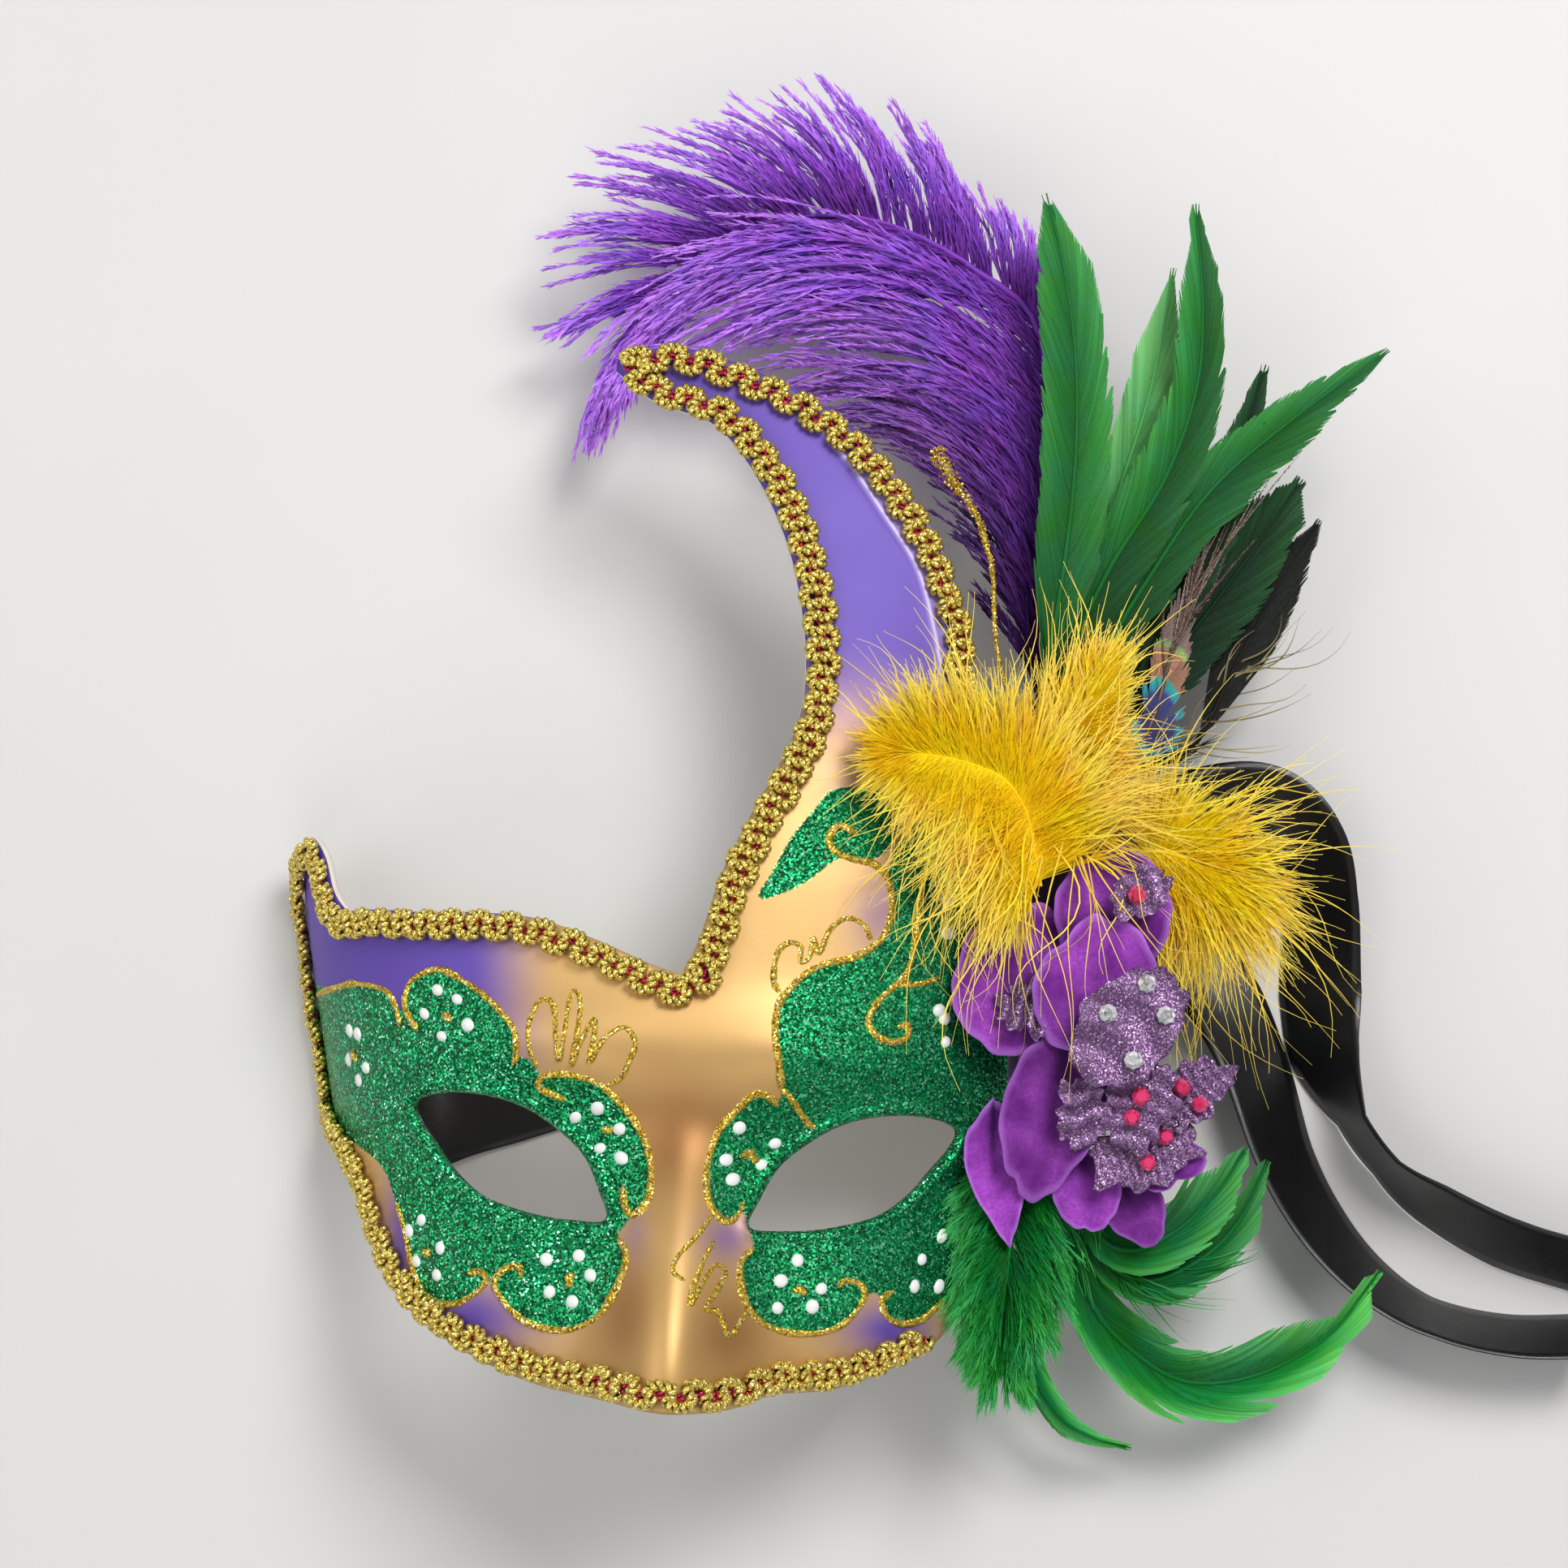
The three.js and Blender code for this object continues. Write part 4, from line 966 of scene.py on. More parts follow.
def braid(run, gold, red):
    """A twisted gold cord winding from side to side over two red threads, flat where it meets the floor."""
    rng = seeded(run["name"])
    edge = Line(run["edge"])
    shares = np.arange(run["from"], edge.length - run["to"], 1.0) / edge.length
    ways = edge.heading(shares)
    inward = left_of(ways)
    insets = row_value(run["insets"], np.linspace(0, 1, len(shares)))
    route = Line(edge.at(shares) + inward * insets[:, None], fine=4)
    turns = round(route.length / BRAID_PITCH)
    angle = np.linspace(0, 2 * math.pi * turns, BRAID_STEPS * turns)

    def on_braid(reach, across, lift):
        share = np.clip(reach / route.length, 0, 1)
        way = route.heading(share)
        spot = route.at(share) + left_of(way) * across[:, None]
        return on_face(spot[:, 0], spot[:, 1], lift)

    swing = (BRAID_WIDTH - BRAID_MARGIN) / 2 - BRAID_CORD_RADIUS - BRAID_STRAND_RADIUS
    reach = route.length * angle / angle[-1] - BRAID_LOOP * BRAID_PITCH * np.sin(2 * angle)
    uneven = np.interp(angle, np.linspace(0, angle[-1], 2 * turns + 1), rng.uniform(0.84, 1.1, 2 * turns + 1))
    wobble = np.interp(angle, np.linspace(0, angle[-1], 3 * turns), rng.normal(0, 0.22, 3 * turns))
    middle = BRAID_LIFT + BRAID_THICK / 2 + BRAID_HUMP * np.cos(angle * 2) + wobble
    cord = on_braid(reach, swing * uneven * np.sin(angle), middle)
    above = on_braid(reach, swing * uneven * np.sin(angle), middle + 1)
    way = unit(np.gradient(cord, axis=0))
    rise = unit(above - cord)
    across = unit(np.cross(rise, way))
    travel = np.concatenate([[0], np.cumsum(np.linalg.norm(np.diff(cord, axis=0), axis=1))])
    parts = Parts()
    strands, sides = 2, 6
    for k in range(strands):
        twist = 2 * math.pi * (travel / BRAID_TWIST + k / strands)
        offset = np.cos(twist)[:, None] * across + np.sin(twist)[:, None] * rise
        path = cord + BRAID_CORD_RADIUS * offset
        tube_points, faces = tube(path, BRAID_STRAND_RADIUS, sides)
        outward = (tube_points.reshape(len(path), sides, 3) - path[:, None]) / BRAID_STRAND_RADIUS
        # Painted shade on the side of each strand that faces the cord's middle
        groove = smooth_step(0.1, -0.7, np.einsum("ijk,ik->ij", outward, offset))
        wind = np.repeat(travel, sides) + np.tile(np.linspace(0, 0.5, sides), len(path))
        tube_points[:, 2] = np.maximum(tube_points[:, 2], FLOOR_GAP)
        parts.add(tube_points, faces, wind=wind, groove=groove.ravel())
    parts.made(run["name"] + "_cord", gold, "gold_braid", (run["name"],))
    core = Parts()
    steps = np.linspace(0, route.length, 8 * turns)
    core_sides = 5
    for offset in (-CORE_HALF_GAP, CORE_HALF_GAP):
        path = on_braid(steps, offset + CORE_WAVE * np.sin(steps * 1.9), 0 * steps + BRAID_LIFT + CORE_LIFT)
        tube_points, faces = tube(path, CORE_RADIUS, core_sides)
        core.add(tube_points, faces, wind=np.repeat(steps, core_sides), groove=0.0)
    core.made(run["name"] + "_core", red, "gold_braid")


# Feathers

def face_clearance(points, gap, behind=False):
    """Keeps points in front of the shell or behind it, and off the floor."""
    x, y = points[..., 0].ravel(), points[..., 1].ravel()
    near = np.abs(x) < 0.995 * half_width(y)
    u = GIRTH_RADIUS * np.arcsin(np.clip(x / half_width(y), -0.999, 0.999))
    over = near & inside(np.stack([u, y], axis=-1), COARSE_OUTLINE)
    skin = face_surface(u, y)[:, 2]
    z = points[..., 2].ravel()
    if behind:
        z = np.where(over, np.minimum(z, skin - WALL - gap), z)
    else:
        z = np.where(over & (z > 12), np.maximum(z, skin + gap), z)
    cleared = points.copy()
    cleared[..., 2] = np.maximum(z, 0.5).reshape(points.shape[:-1])
    return cleared


def turned(flat_ways, angles):
    cos, sin = np.cos(angles), np.sin(angles)
    x, y = flat_ways[..., 0], flat_ways[..., 1]
    return np.stack([x * cos - y * sin, x * sin + y * cos], axis=-1)


def barb_paths(row, rng):
    """Barbs on both sides of a quill. Angles are from the quill's own heading, at root and tip."""
    line = Line(row["quill"])
    count, steps = row["count"], row["steps"]
    rank = np.sort(rng.uniform(row["from"], 1, count))
    left = rng.random(count) < row.get("left_share", 0.5)
    side = np.where(left, 1.0, -1.0)

    def both(key):
        on_left = row_value(row.get("left", row["right"])[key], rank)
        return np.where(left, on_left, row_value(row["right"][key], rank))

    lock = (rank * row["locks"]).astype(int) * 2 + left
    lock_turn = rng.normal(0, row["scatter"], 2 * row["locks"] + 2)[lock]
    chance = row["short"] + (1.15 - row["short"]) * rng.beta(2.0, 1.6, count)
    reach = row.get("stretch", 1) * both("reach") * chance
    reach = reach * rng.uniform(0.9, 1.05, lock.max() + 1)[lock]
    start = side * np.radians(both("start")) + lock_turn + rng.normal(0, 0.4 * row["scatter"], count)
    end = side * np.radians(both("end")) + 1.6 * lock_turn + rng.normal(0, row["scatter"], count)
    share = np.linspace(0, 1, steps)
    wave = rng.normal(0, row["wave"], count)[:, None] * np.sin(share * rng.uniform(3, 9, count)[:, None])
    heading = turned(line.heading(rank)[:, None, :2], start[:, None] + (end - start)[:, None] * share + wave)
    step = (reach / (steps - 1))[:, None, None]
    flat = np.cumsum(unit(heading) * step, axis=1) - unit(heading[:, :1]) * step
    rise = rng.normal(row["rise"], row["loft"], count)
    paths = line.at(rank)[:, None] + np.concatenate([flat, np.zeros((count, steps, 1))], axis=-1)
    paths += rng.normal(0, row.get("roots", 0), (count, 1, 3)) * (1, 1, 0.2)
    paths[..., 2] += reach[:, None] * (rise[:, None] * share - row["sag"] * share**2)
    for k in np.unique(lock):
        members = lock == k
        gather = paths[members, -1].mean(axis=0) - paths[members, -1]
        paths[members] += row["clump"] * gather[:, None] * (share**2)[:, None]
    paths = face_clearance(paths, BARB_GAP, row.get("behind", False))
    return paths, unit(np.gradient(paths, axis=1)), rank


def barb_blades(strands, row, paths, way, rank, rng):
    count, steps = paths.shape[:2]
    share = np.linspace(0, 1, steps)
    roll = rng.normal(0, row.get("roll", 0.5), count)
    up = np.stack([np.sin(roll), 0.5 * np.sin(5 * roll), np.cos(roll)], axis=-1)
    across = unit(np.cross(way, up[:, None]))
    taper = np.maximum(0.2, 1 - share**2)
    widths = row["width"] * rng.uniform(0.7, 1.2, count)[:, None] * taper
    strands.blades(paths, across, widths, rng, rank, ring=row.get("ring", 0.0),
                   along=np.linspace(*row.get("along", (0, 1)), steps))


def barbules(strands, row, paths, way, rank, rng):
    """Short side hairs that make a barb soft: from root to tip, fewer where it is bare."""
    count = row["barbules"]
    barbs, steps = paths.shape[:2]
    which = rng.integers(0, barbs, count)
    spot = row["bare"] * rng.beta(1.0, row["thinning"], count) * (steps - 1.001)
    low = spot.astype(int)
    part = (spot - low)[:, None]
    root = paths[which, low] * (1 - part) + paths[which, low + 1] * part
    forward = way[which, low]
    level = unit(np.cross(forward, UP))
    lean = np.radians(row["barbule_angle"]) * rng.uniform(0.5, 1.3, count) * rng.choice([-1, 1], count)
    tilt = rng.normal(0, 0.25, count)
    heading = forward * np.cos(lean)[:, None] + level * np.sin(lean)[:, None]
    heading[:, 2] += tilt
    heading = unit(heading)
    along = spot / (steps - 1)
    reach = row["barbule"] * (1 - 0.6 * along) * rng.uniform(0.5, 1.1, count)
    share = np.array([0.0, 1.0])
    hairs = root[:, None] + heading[:, None] * (share * reach[:, None])[..., None]
    hairs = face_clearance(hairs, BARB_GAP, row.get("behind", False))
    across = unit(np.cross(heading, UP + rng.normal(0, 0.5, (count, 3))))
    widths = row["barbule_width"] * np.broadcast_to(1 - 0.8 * share, (count, len(share)))
    tone = np.clip(along[:, None] + 0.15 * share, 0, 1)
    strands.blades(hairs, np.broadcast_to(across[:, None], hairs.shape), widths, rng, rank[which], along=tone,
                   ring=row.get("ring", 0.0))


def fan(reach, start, end):
    """One side's barbs, from foot to tip of the quill: lengths, and angles from the quill at root and end."""
    return {"reach": reach, "start": start, "end": end}


# What the two smaller yellow puffs share
SMALL_PUFF = {
    "colour": "yellow", "slot": "yellow_marabou", "radii": [0.5, 0.4, 0.3, 0.2], "from": 0.0, "steps": 10,
    "width": 0.46, "locks": 100, "scatter": 0.18, "short": 0.3, "wave": 0.17, "rise": 0.04, "loft": 0.1,
    "clump": 0.5, "barbules": 20000, "barbule": 6.2, "barbule_width": 0.26, "barbule_angle": 9, "bare": 0.62,
    "thinning": 1.4, "roll": 0.25, "strays": 90,
}
# Loose feathers: the barbs start from a share of the quill and gather in locks. short is the least share of
# a barb's length; scatter and wave turn it, rise, loft and sag lift it, and clump gathers the ends of a lock.
# barbules are the side hairs, which reach along a barb up to the share named bare.
LOOSE_FEATHERS = [
    {"name": "ostrich_plume", "colour": "plume", "slot": "purple_plume", "behind": True,
     "quill": [(70, 90.5, 37.5), (72, 116, 35), (71.5, 160, 33.5), (66.6, 189, 32), (53, 200.5, 31),
               (41, 207.5, 30), (29, 211.5, 29), (17, 212, 28), (5, 209, 26), (-7, 202, 23), (-17, 193, 20)],
     "radii": [1.5, 1.3, 0.9, 0.5, 0.25], "from": 0.06, "count": 1000, "steps": 15, "width": 0.8,
     "locks": 70,
     "left": fan([16, 42, 54, 68, 78, 80, 74, 62, 54, 45, 36], [10, 12, 18, 30, 34, 32, 24, 20, 16, 12, 4],
                 [34, 50, 70, 98, 94, 72, 58, 50, 44, 38, 28]),
     "right": fan([0, 0, 0, 2, 8, 17, 30, 38, 37, 38, 28], [30, 30, 20, 20, 24, 38, 52, 58, 52, 52, 26],
                  [30, 30, 10, 4, 6, 16, 26, 28, 22, 26, 10]),
     "left_share": 0.64, "scatter": 0.05, "short": 0.66, "wave": 0.08, "rise": 0.05, "loft": 0.05,
     "sag": 0.14, "clump": 0.12, "barbules": 78000, "barbule": 6.8, "barbule_width": 0.56,
     "barbule_angle": 9, "bare": 0.99, "thinning": 1.0},
    {"name": "yellow_marabou_1", "colour": "yellow", "slot": "yellow_marabou",
     "quill": [(71.5, 62, 54), (69.5, 70, 56), (67.5, 77, 58), (63, 83, 59), (56, 86, 59.5),
               (48, 87.5, 59.5), (41, 88, 59)],
     "radii": [0.4, 0.35, 0.3, 0.2, 0.15], "from": 0.02, "count": 1500, "steps": 10, "width": 0.46,
     "locks": 150,
     "left": fan([26, 29, 31, 31, 29, 23, 14], [120, 118, 104, 88, 80, 70, 22],
                 [150, 146, 124, 100, 92, 74, 22]),
     "right": fan([30, 32, 29, 27, 26, 22, 14], [56, 54, 54, 60, 64, 54, 18], [66, 62, 52, 50, 56, 50, 20]),
     "scatter": 0.16, "short": 0.3, "wave": 0.16, "rise": 0.05, "loft": 0.12, "sag": 0.08, "clump": 0.5,
     "barbules": 34000, "barbule": 6.5, "barbule_width": 0.26, "barbule_angle": 9, "bare": 0.66,
     "thinning": 1.4, "roll": 0.25, "strays": 130},
    {**SMALL_PUFF, "name": "yellow_marabou_2", "count": 1000, "left_share": 0.4, "sag": 0.08,
     "quill": [(68, 80, 50), (73, 89, 51.5), (78, 97, 52), (82, 104, 52)],
     "left": fan([24, 24, 22, 20], [34, 30, 24, 6], [20, 16, 10, 4]),
     "right": fan([44, 26, 15, 16], [86, 66, 40, 8], [78, 56, 34, 6])},
    {**SMALL_PUFF, "name": "yellow_marabou_3", "count": 800, "left_share": 0.38, "sag": 0.12,
     "quill": [(93, 72, 40), (99, 72, 40), (105, 70.5, 39), (111, 68, 37)],
     "left": fan([24, 28, 28, 26], [104, 56, 34, 10], [76, 34, 18, 6]),
     "right": fan([34, 36, 35, 28], [70, 56, 40, 12], [86, 72, 52, 18])},
    {"name": "green_marabou", "colour": "low_green", "slot": "green_marabou",
     "quill": [(71, 12, 38), (70, -4, 39.5), (69, -17, 40), (69, -30, 37)],
     "radii": [0.6, 0.5, 0.35, 0.2], "from": 0.0, "count": 700, "steps": 10, "width": 0.42, "locks": 48,
     "left": fan([26, 26, 25, 20], [52, 44, 34, 10], [24, 22, 18, 6]),
     "right": fan([24, 25, 25, 20], [52, 44, 34, 10], [14, 14, 12, 6]),
     "scatter": 0.1, "short": 0.5, "wave": 0.1, "rise": 0.05, "loft": 0.12, "sag": 0.16, "clump": 0.5,
     "barbules": 30000, "barbule": 7.0, "barbule_width": 0.32, "barbule_angle": 10, "bare": 0.86,
     "thinning": 1.2},
]


# Strands that reach past the rest of a puff
STRAYS = {"stretch": 1.5, "steps": 14, "width": 0.42, "short": 0.55, "scatter": 0.24, "wave": 0.3,
          "clump": 0.2, "along": (0.35, 1.0)}
# Long single strands: those of the largest yellow puff hang over the petals
WISPS = {
    "yellow_marabou_1": {
        "quill": [(54, 80, 56.5), (66, 75, 56), (80, 76, 55)],
        "from": 0.0, "count": 40, "steps": 16, "width": 0.4, "locks": 30, "roots": 3, "left_share": 0.0,
        "right": fan([54, 56, 50], [80, 84, 84], [70, 84, 96]),
        "along": (0.5, 1.0), "scatter": 0.26, "short": 0.45, "wave": 0.42, "rise": 0.08, "loft": 0.02,
        "sag": 0.06, "clump": 0.25},
    "green_hackle_1": {
        "quill": [(90, -14, 32), (98, -18.5, 31), (108, -15, 30.5)],
        "from": 0.0, "count": 20, "steps": 12, "width": 0.42, "locks": 20, "roots": 1.0, "left_share": 0.0,
        "right": fan([22, 22, 18], [24, 28, 24], [-14, -10, -6]),
        "along": (0.2, 0.9), "scatter": 0.1, "short": 0.5, "wave": 0.06, "rise": 0.02, "loft": 0.03,
        "sag": 0.05, "clump": 0.2},
    "black_feather": {
        "quill": [(100, 95, 29), (108, 104, 26), (114, 116, 25)],
        "from": 0.0, "count": 18, "steps": 12, "width": 0.42, "locks": 18, "roots": 1.5, "left_share": 0.15,
        "left": fan([12, 16, 16], [30, 20, 14], [10, 8, 4]),
        "right": fan([22, 26, 28], [62, 56, 48], [20, 14, 10]),
        "along": (0.8, 1.0), "scatter": 0.14, "short": 0.5, "wave": 0.14, "rise": 0.03, "loft": 0.05,
        "sag": 0.05, "clump": 0.3},
}


def wisps(strands, name, rng):
    if name in WISPS:
        barb_blades(strands, WISPS[name], *barb_paths(WISPS[name], rng), rng)


def loose_feather(row, material):
    rng = seeded(row["name"])
    strands = Strands()
    strands.quill(Line(row["quill"]), row["radii"])
    paths, way, rank = barb_paths(row, rng)
    barb_blades(strands, row, paths, way, rank, rng)
    barbules(strands, row, paths, way, rank, rng)
    if "strays" in row:
        strays = dict(row, **STRAYS, count=row["strays"])
        barb_blades(strands, strays, *barb_paths(strays, rng), rng)
    wisps(strands, row["name"], rng)
    strands.feather(row["name"], material, row["slot"])


# Close vanes: spine from quill to tip, half widths along it, where the web starts, how far a barb
# runs forward, and the painted light and shade of the two sides of the web
VANES = [
    {"name": "green_feather_1", "colour": "green", "slot": "green_feather", "web": 0.2, "lead": 24,
     "halves": [0.7, 1.5, 4.5, 7.4, 7.6, 7.2, 6.4, 0.8], "side_shades": (0.95, 1.1), "camber": 0.16,
     "spine": [(72, 80, 44.5), (70, 99, 46), (73, 121, 46.5), (75.5, 150, 46.5), (75, 175, 46.5),
               (71.5, 197, 46.5), (67, 214, 46)]},
    {"name": "green_feather_2", "colour": "green", "slot": "green_feather", "web": 0.12, "lead": 24,
     "halves": [0.7, 3, 6.5, 7.4, 6.8, 5.6, 5, 0.5], "side_shades": (1.1, 0.58), "camber": 0.22,
     "spine": [(78, 82, 42.2), (75, 106, 43), (83, 130, 43.5), (95, 152, 44.5), (101, 172, 46),
               (101.5, 190, 48), (99, 212, 50)]},
    {"name": "green_feather_3", "colour": "light_green", "slot": "green_feather", "web": 0.2, "lead": 20,
     "halves": [0.7, 2.4, 5, 6, 5.6, 0.5], "side_shades": (1.1, 0.95), "camber": 0.15,
     "spine": [(73, 90, 38.6), (76, 115, 38.6), (86, 151, 38.6), (92, 174, 38.6), (96, 201, 38.6)]},
    {"name": "green_feather_4", "colour": "green", "slot": "green_feather", "web": 0.2, "lead": 22,
     "halves": [0.7, 2.2, 6, 7, 5.4, 0.5], "side_shades": (0.95, 0.6), "camber": 0.2,
     "spine": [(83, 84, 42.2), (84, 112, 41), (95, 135, 40.8), (107, 153, 40.6), (124, 169, 40.6),
               (143, 184.5, 40.6)]},
    {"name": "dark_feather_1", "colour": "dark_green", "slot": "dark_feather", "web": 0.2, "lead": 16,
     "halves": [0.7, 2, 4.4, 5.4, 4.6, 0.8], "side_shades": (1.2, 0.8), "camber": 0.2,
     "spine": [(82, 90, 37), (97, 122, 32.8), (108, 146, 32.4), (117.6, 182, 32.4)]},
    {"name": "dark_feather_2", "colour": "dark_green", "slot": "dark_feather", "web": 0.15, "lead": 18,
     "halves": [0.7, 2, 4.4, 6.6, 7.8, 8.4, 8.4, 7.8, 6.2, 0.6], "side_shades": (0.9, 0.9), "camber": 0.15,
     "spine": [(85, 90, 36.6), (96, 110, 30.4), (112, 134, 29), (127, 157.5, 29)]},
    {"name": "black_feather", "colour": "black", "slot": "black_feather", "web": 0.3, "lead": 26,
     "halves": [0.7, 2, 5.4, 6.6, 5, 0.4], "side_shades": (0.8, 1.1), "camber": 0.15, "along": (0.0, 0.4),
     "spine": [(88, 90, 36.2), (104, 96, 28), (115, 118, 25), (124, 136, 23), (132, 150, 23)]},
    {"name": "green_hackle_1", "colour": "hackle", "slot": "green_feather", "web": 0.2, "lead": 24,
     "halves": [0.7, 3, 6, 6.4, 5.4, 0.6], "side_shades": (0.68, 0.9), "camber": 0.12, "parted": 0.4,
     "ragged": 0.1,
     "spine": [(84, 13, 38), (87, -7, 35.5), (95, -12, 34.5), (105, -7, 34), (113, 1.5, 33.5), (119, 11, 33)],
     "blades": [{},
                {"spine": [(84, 13, 37), (88, -11, 33), (98, -18, 31), (109, -14, 30.5), (118, -5, 30),
                           (124, 8.5, 30)],
                 "halves": [0.7, 2.5, 5, 5.4, 4.4, 0.6], "side_shades": (0.5, 0.72)}]},
    {"name": "green_hackle_2", "colour": "hackle", "slot": "green_feather", "web": 0.12, "lead": 30,
     "halves": [0.7, 3, 6, 7.5, 8, 7.6, 5.4, 0.5], "side_shades": (0.75, 1.3), "camber": 0.1, "parted": 0.55,
     "ragged": 0.12,
     "spine": [(80, 13, 38), (83, -10, 34), (88, -24, 30), (97, -33, 26), (109, -39, 22.5), (124, -37, 21),
               (139, -28, 21), (150, -13.5, 21.5)]},
    {"name": "green_hackle_3", "colour": "hackle", "slot": "green_feather", "web": 0.15, "lead": 26,
     "halves": [0.7, 1.8, 2.8, 3.2, 2.8, 0.5], "side_shades": (1.35, 0.8), "camber": 0.15,
     "spine": [(76, 13, 38), (76, -12, 31.5), (75, -34, 25), (82, -47, 20), (90, -52, 16), (99, -54, 13)]},
]


def vane_web(strands, row, rng):
    """Barbs side by side in one web, parted into a few tufts at the edge."""
    line = Line(row["spine"])
    strands.quill(line, [0.75, 0.7, 0.55, 0.4, 0.15])
    count, steps = int((1 - row["web"]) * line.length / BARB_PITCH), VANE_STEPS
    share = np.linspace(0, 1, steps)
    rank = np.linspace(row["web"], VANE_END, count)
    lead = np.minimum(row["lead"] / line.length, 0.998 - rank)
    # Painted light and shade: each side of the web gets its own lightness
    for side, tone in zip((1, -1), row["side_shades"]):
        tufts = np.sort(rng.uniform(row["web"], VANE_END, VANE_TUFTS))
        nearest = np.searchsorted(tufts, rank)
        edges = np.concatenate([[row["web"]], tufts, [VANE_END]])
        middle = (edges[nearest] + edges[np.minimum(nearest + 1, len(edges) - 1)]) / 2
        pull = row.get("parted", 0.22) * (middle - rank)
        spots = np.clip(rank[:, None] + lead[:, None] * share + pull[:, None] * share**3, 0, 1)
        ways = line.heading(spots)
        across = unit(np.cross(UP, ways))
        half = row_value(row["halves"], rank + lead) * rng.uniform(0.96, 1.03, count)
        tufted = 1 + row.get("ragged", 0.06) * rng.normal(0, 1, VANE_TUFTS + 2)[nearest]
        out = (half * tufted)[:, None] * share**0.85
        paths = line.at(spots) + side * across * out[..., None]
        ripple = 0.5 * np.sin(rank * 17 + 2 * side) + 0.3 * np.sin(rank * 41 + side)
        paths[..., 2] += -row["camber"] * out + ripple[:, None] * share**2 + 0.1
        way = unit(np.gradient(paths, axis=1))
        flat_across = unit(np.cross(way, UP))
        flat_across[..., 2] += 0.12 * side
        gap = np.linalg.norm(np.cross(np.gradient(paths, axis=0), way), axis=-1)
        widths = np.clip(2.2 * gap, 0.25, 1.6) * np.maximum(0.3, 1 - share**12)
        strands.blades(paths, unit(flat_across), widths, rng, rank, tone=tone,
                       along=np.linspace(*row.get("along", (0, 1)), steps))


# Loose down at the foot of a close vane
FOOT_FAN = fan([10, 14, 12], [30, 24, 18], [12, 8, 6])
FOOT = {"from": 0.1, "count": 40, "steps": 8, "width": 0.35, "locks": 14, "left": FOOT_FAN, "right": FOOT_FAN,
        "scatter": 0.1, "short": 0.5, "wave": 0.1, "rise": 0.02, "loft": 0.05, "sag": 0.02, "clump": 0.2}


def close_vane(row, material):
    """A feather of one or two close blades, with loose down at its foot."""
    rng = seeded(row["name"])
    line = Line(row["spine"])
    strands = Strands()
    for blade in row.get("blades", [{}]):
        vane_web(strands, dict(row, **blade), rng)
    foot = dict(FOOT, quill=[row["spine"][0], line.at(0.12), line.at(0.25)])
    paths, way, rank = barb_paths(foot, rng)
    barb_blades(strands, foot, paths, way, 0 * rank, rng)
    wisps(strands, row["name"], rng)
    strands.feather(row["name"], material, row["slot"])


# Peacock feather: a small eye of close barbs and long bronze barbs beyond it
PEACOCK_FAN = fan([8, 9, 9, 10, 12], [44, 40, 34, 26, 6], [26, 24, 20, 14, 4])
PEACOCK = {
    "from": 0.04, "count": 300, "steps": 9, "width": 1.0, "locks": 30,
    "left": PEACOCK_FAN, "right": PEACOCK_FAN,
    "quill": [(79, 90, 38.4), (92, 96, 36.5), (95.5, 102, 36), (98, 112, 35.6), (99.5, 119, 35.4)],
    "scatter": 0.03, "short": 0.9, "wave": 0.02, "rise": 0.0, "loft": 0.01, "sag": 0.0, "clump": 0.1,
}
PEACOCK_BARBS = {
    "from": 0.3, "count": 26, "steps": 12, "width": 0.45, "locks": 22,
    "quill": [(95.5, 102, 36.4), (98, 112, 36.2), (100, 120, 36.2), (103, 130, 36.2)],
    "left": fan([26, 28, 30, 32], [10, 8, 6, 4], [-10, -4, 2, 4]),
    "right": fan([28, 32, 34, 36], [20, 16, 12, 8], [4, 2, 2, 6]),
    "scatter": 0.1, "short": 0.55, "wave": 0.06, "rise": 0.0, "loft": 0.04, "sag": 0.02, "clump": 0.1,
    "barbules": 1700, "barbule": 1.4, "barbule_width": 0.24, "barbule_angle": 24, "bare": 0.95,
    "thinning": 1.0, "ring": 1.0,
}
PEACOCK_EYE = np.array([96.3, 101])
PEACOCK_EYE_RADII = np.array([5.0, 8.5])


def peacock_feather(material):
    rng = seeded("peacock_feather")
    strands = Strands()
    strands.quill(Line(PEACOCK["quill"]), [0.7, 0.6, 0.4])
    paths, way, rank = barb_paths(PEACOCK, rng)
    count, steps = paths.shape[:2]
    ring = np.linalg.norm((paths[..., :2] - PEACOCK_EYE) / PEACOCK_EYE_RADII, axis=-1) / 2.5
    across = unit(np.cross(way, UP))
    widths = PEACOCK["width"] * np.ones((count, 1)) * np.maximum(0.25, 1 - np.linspace(0, 1, steps) ** 3)
    strands.blades(paths, across, widths, rng, rank, ring=ring)
    paths, way, rank = barb_paths(PEACOCK_BARBS, rng)
    barb_blades(strands, PEACOCK_BARBS, paths, way, rank, rng)
    barbules(strands, PEACOCK_BARBS, paths, way, rank, rng)
    strands.feather("peacock_feather", material, "peacock_feather")


SPRIG = {"spine": [(68.5, 92, 42.6), (61, 112, 45), (59, 130, 45), (55, 142, 45), (50, 149, 45),
                   (46, 155, 45)],
         "halves": [0.5, 0.6, 0.7, 0.7, 1.3, 2.4]}


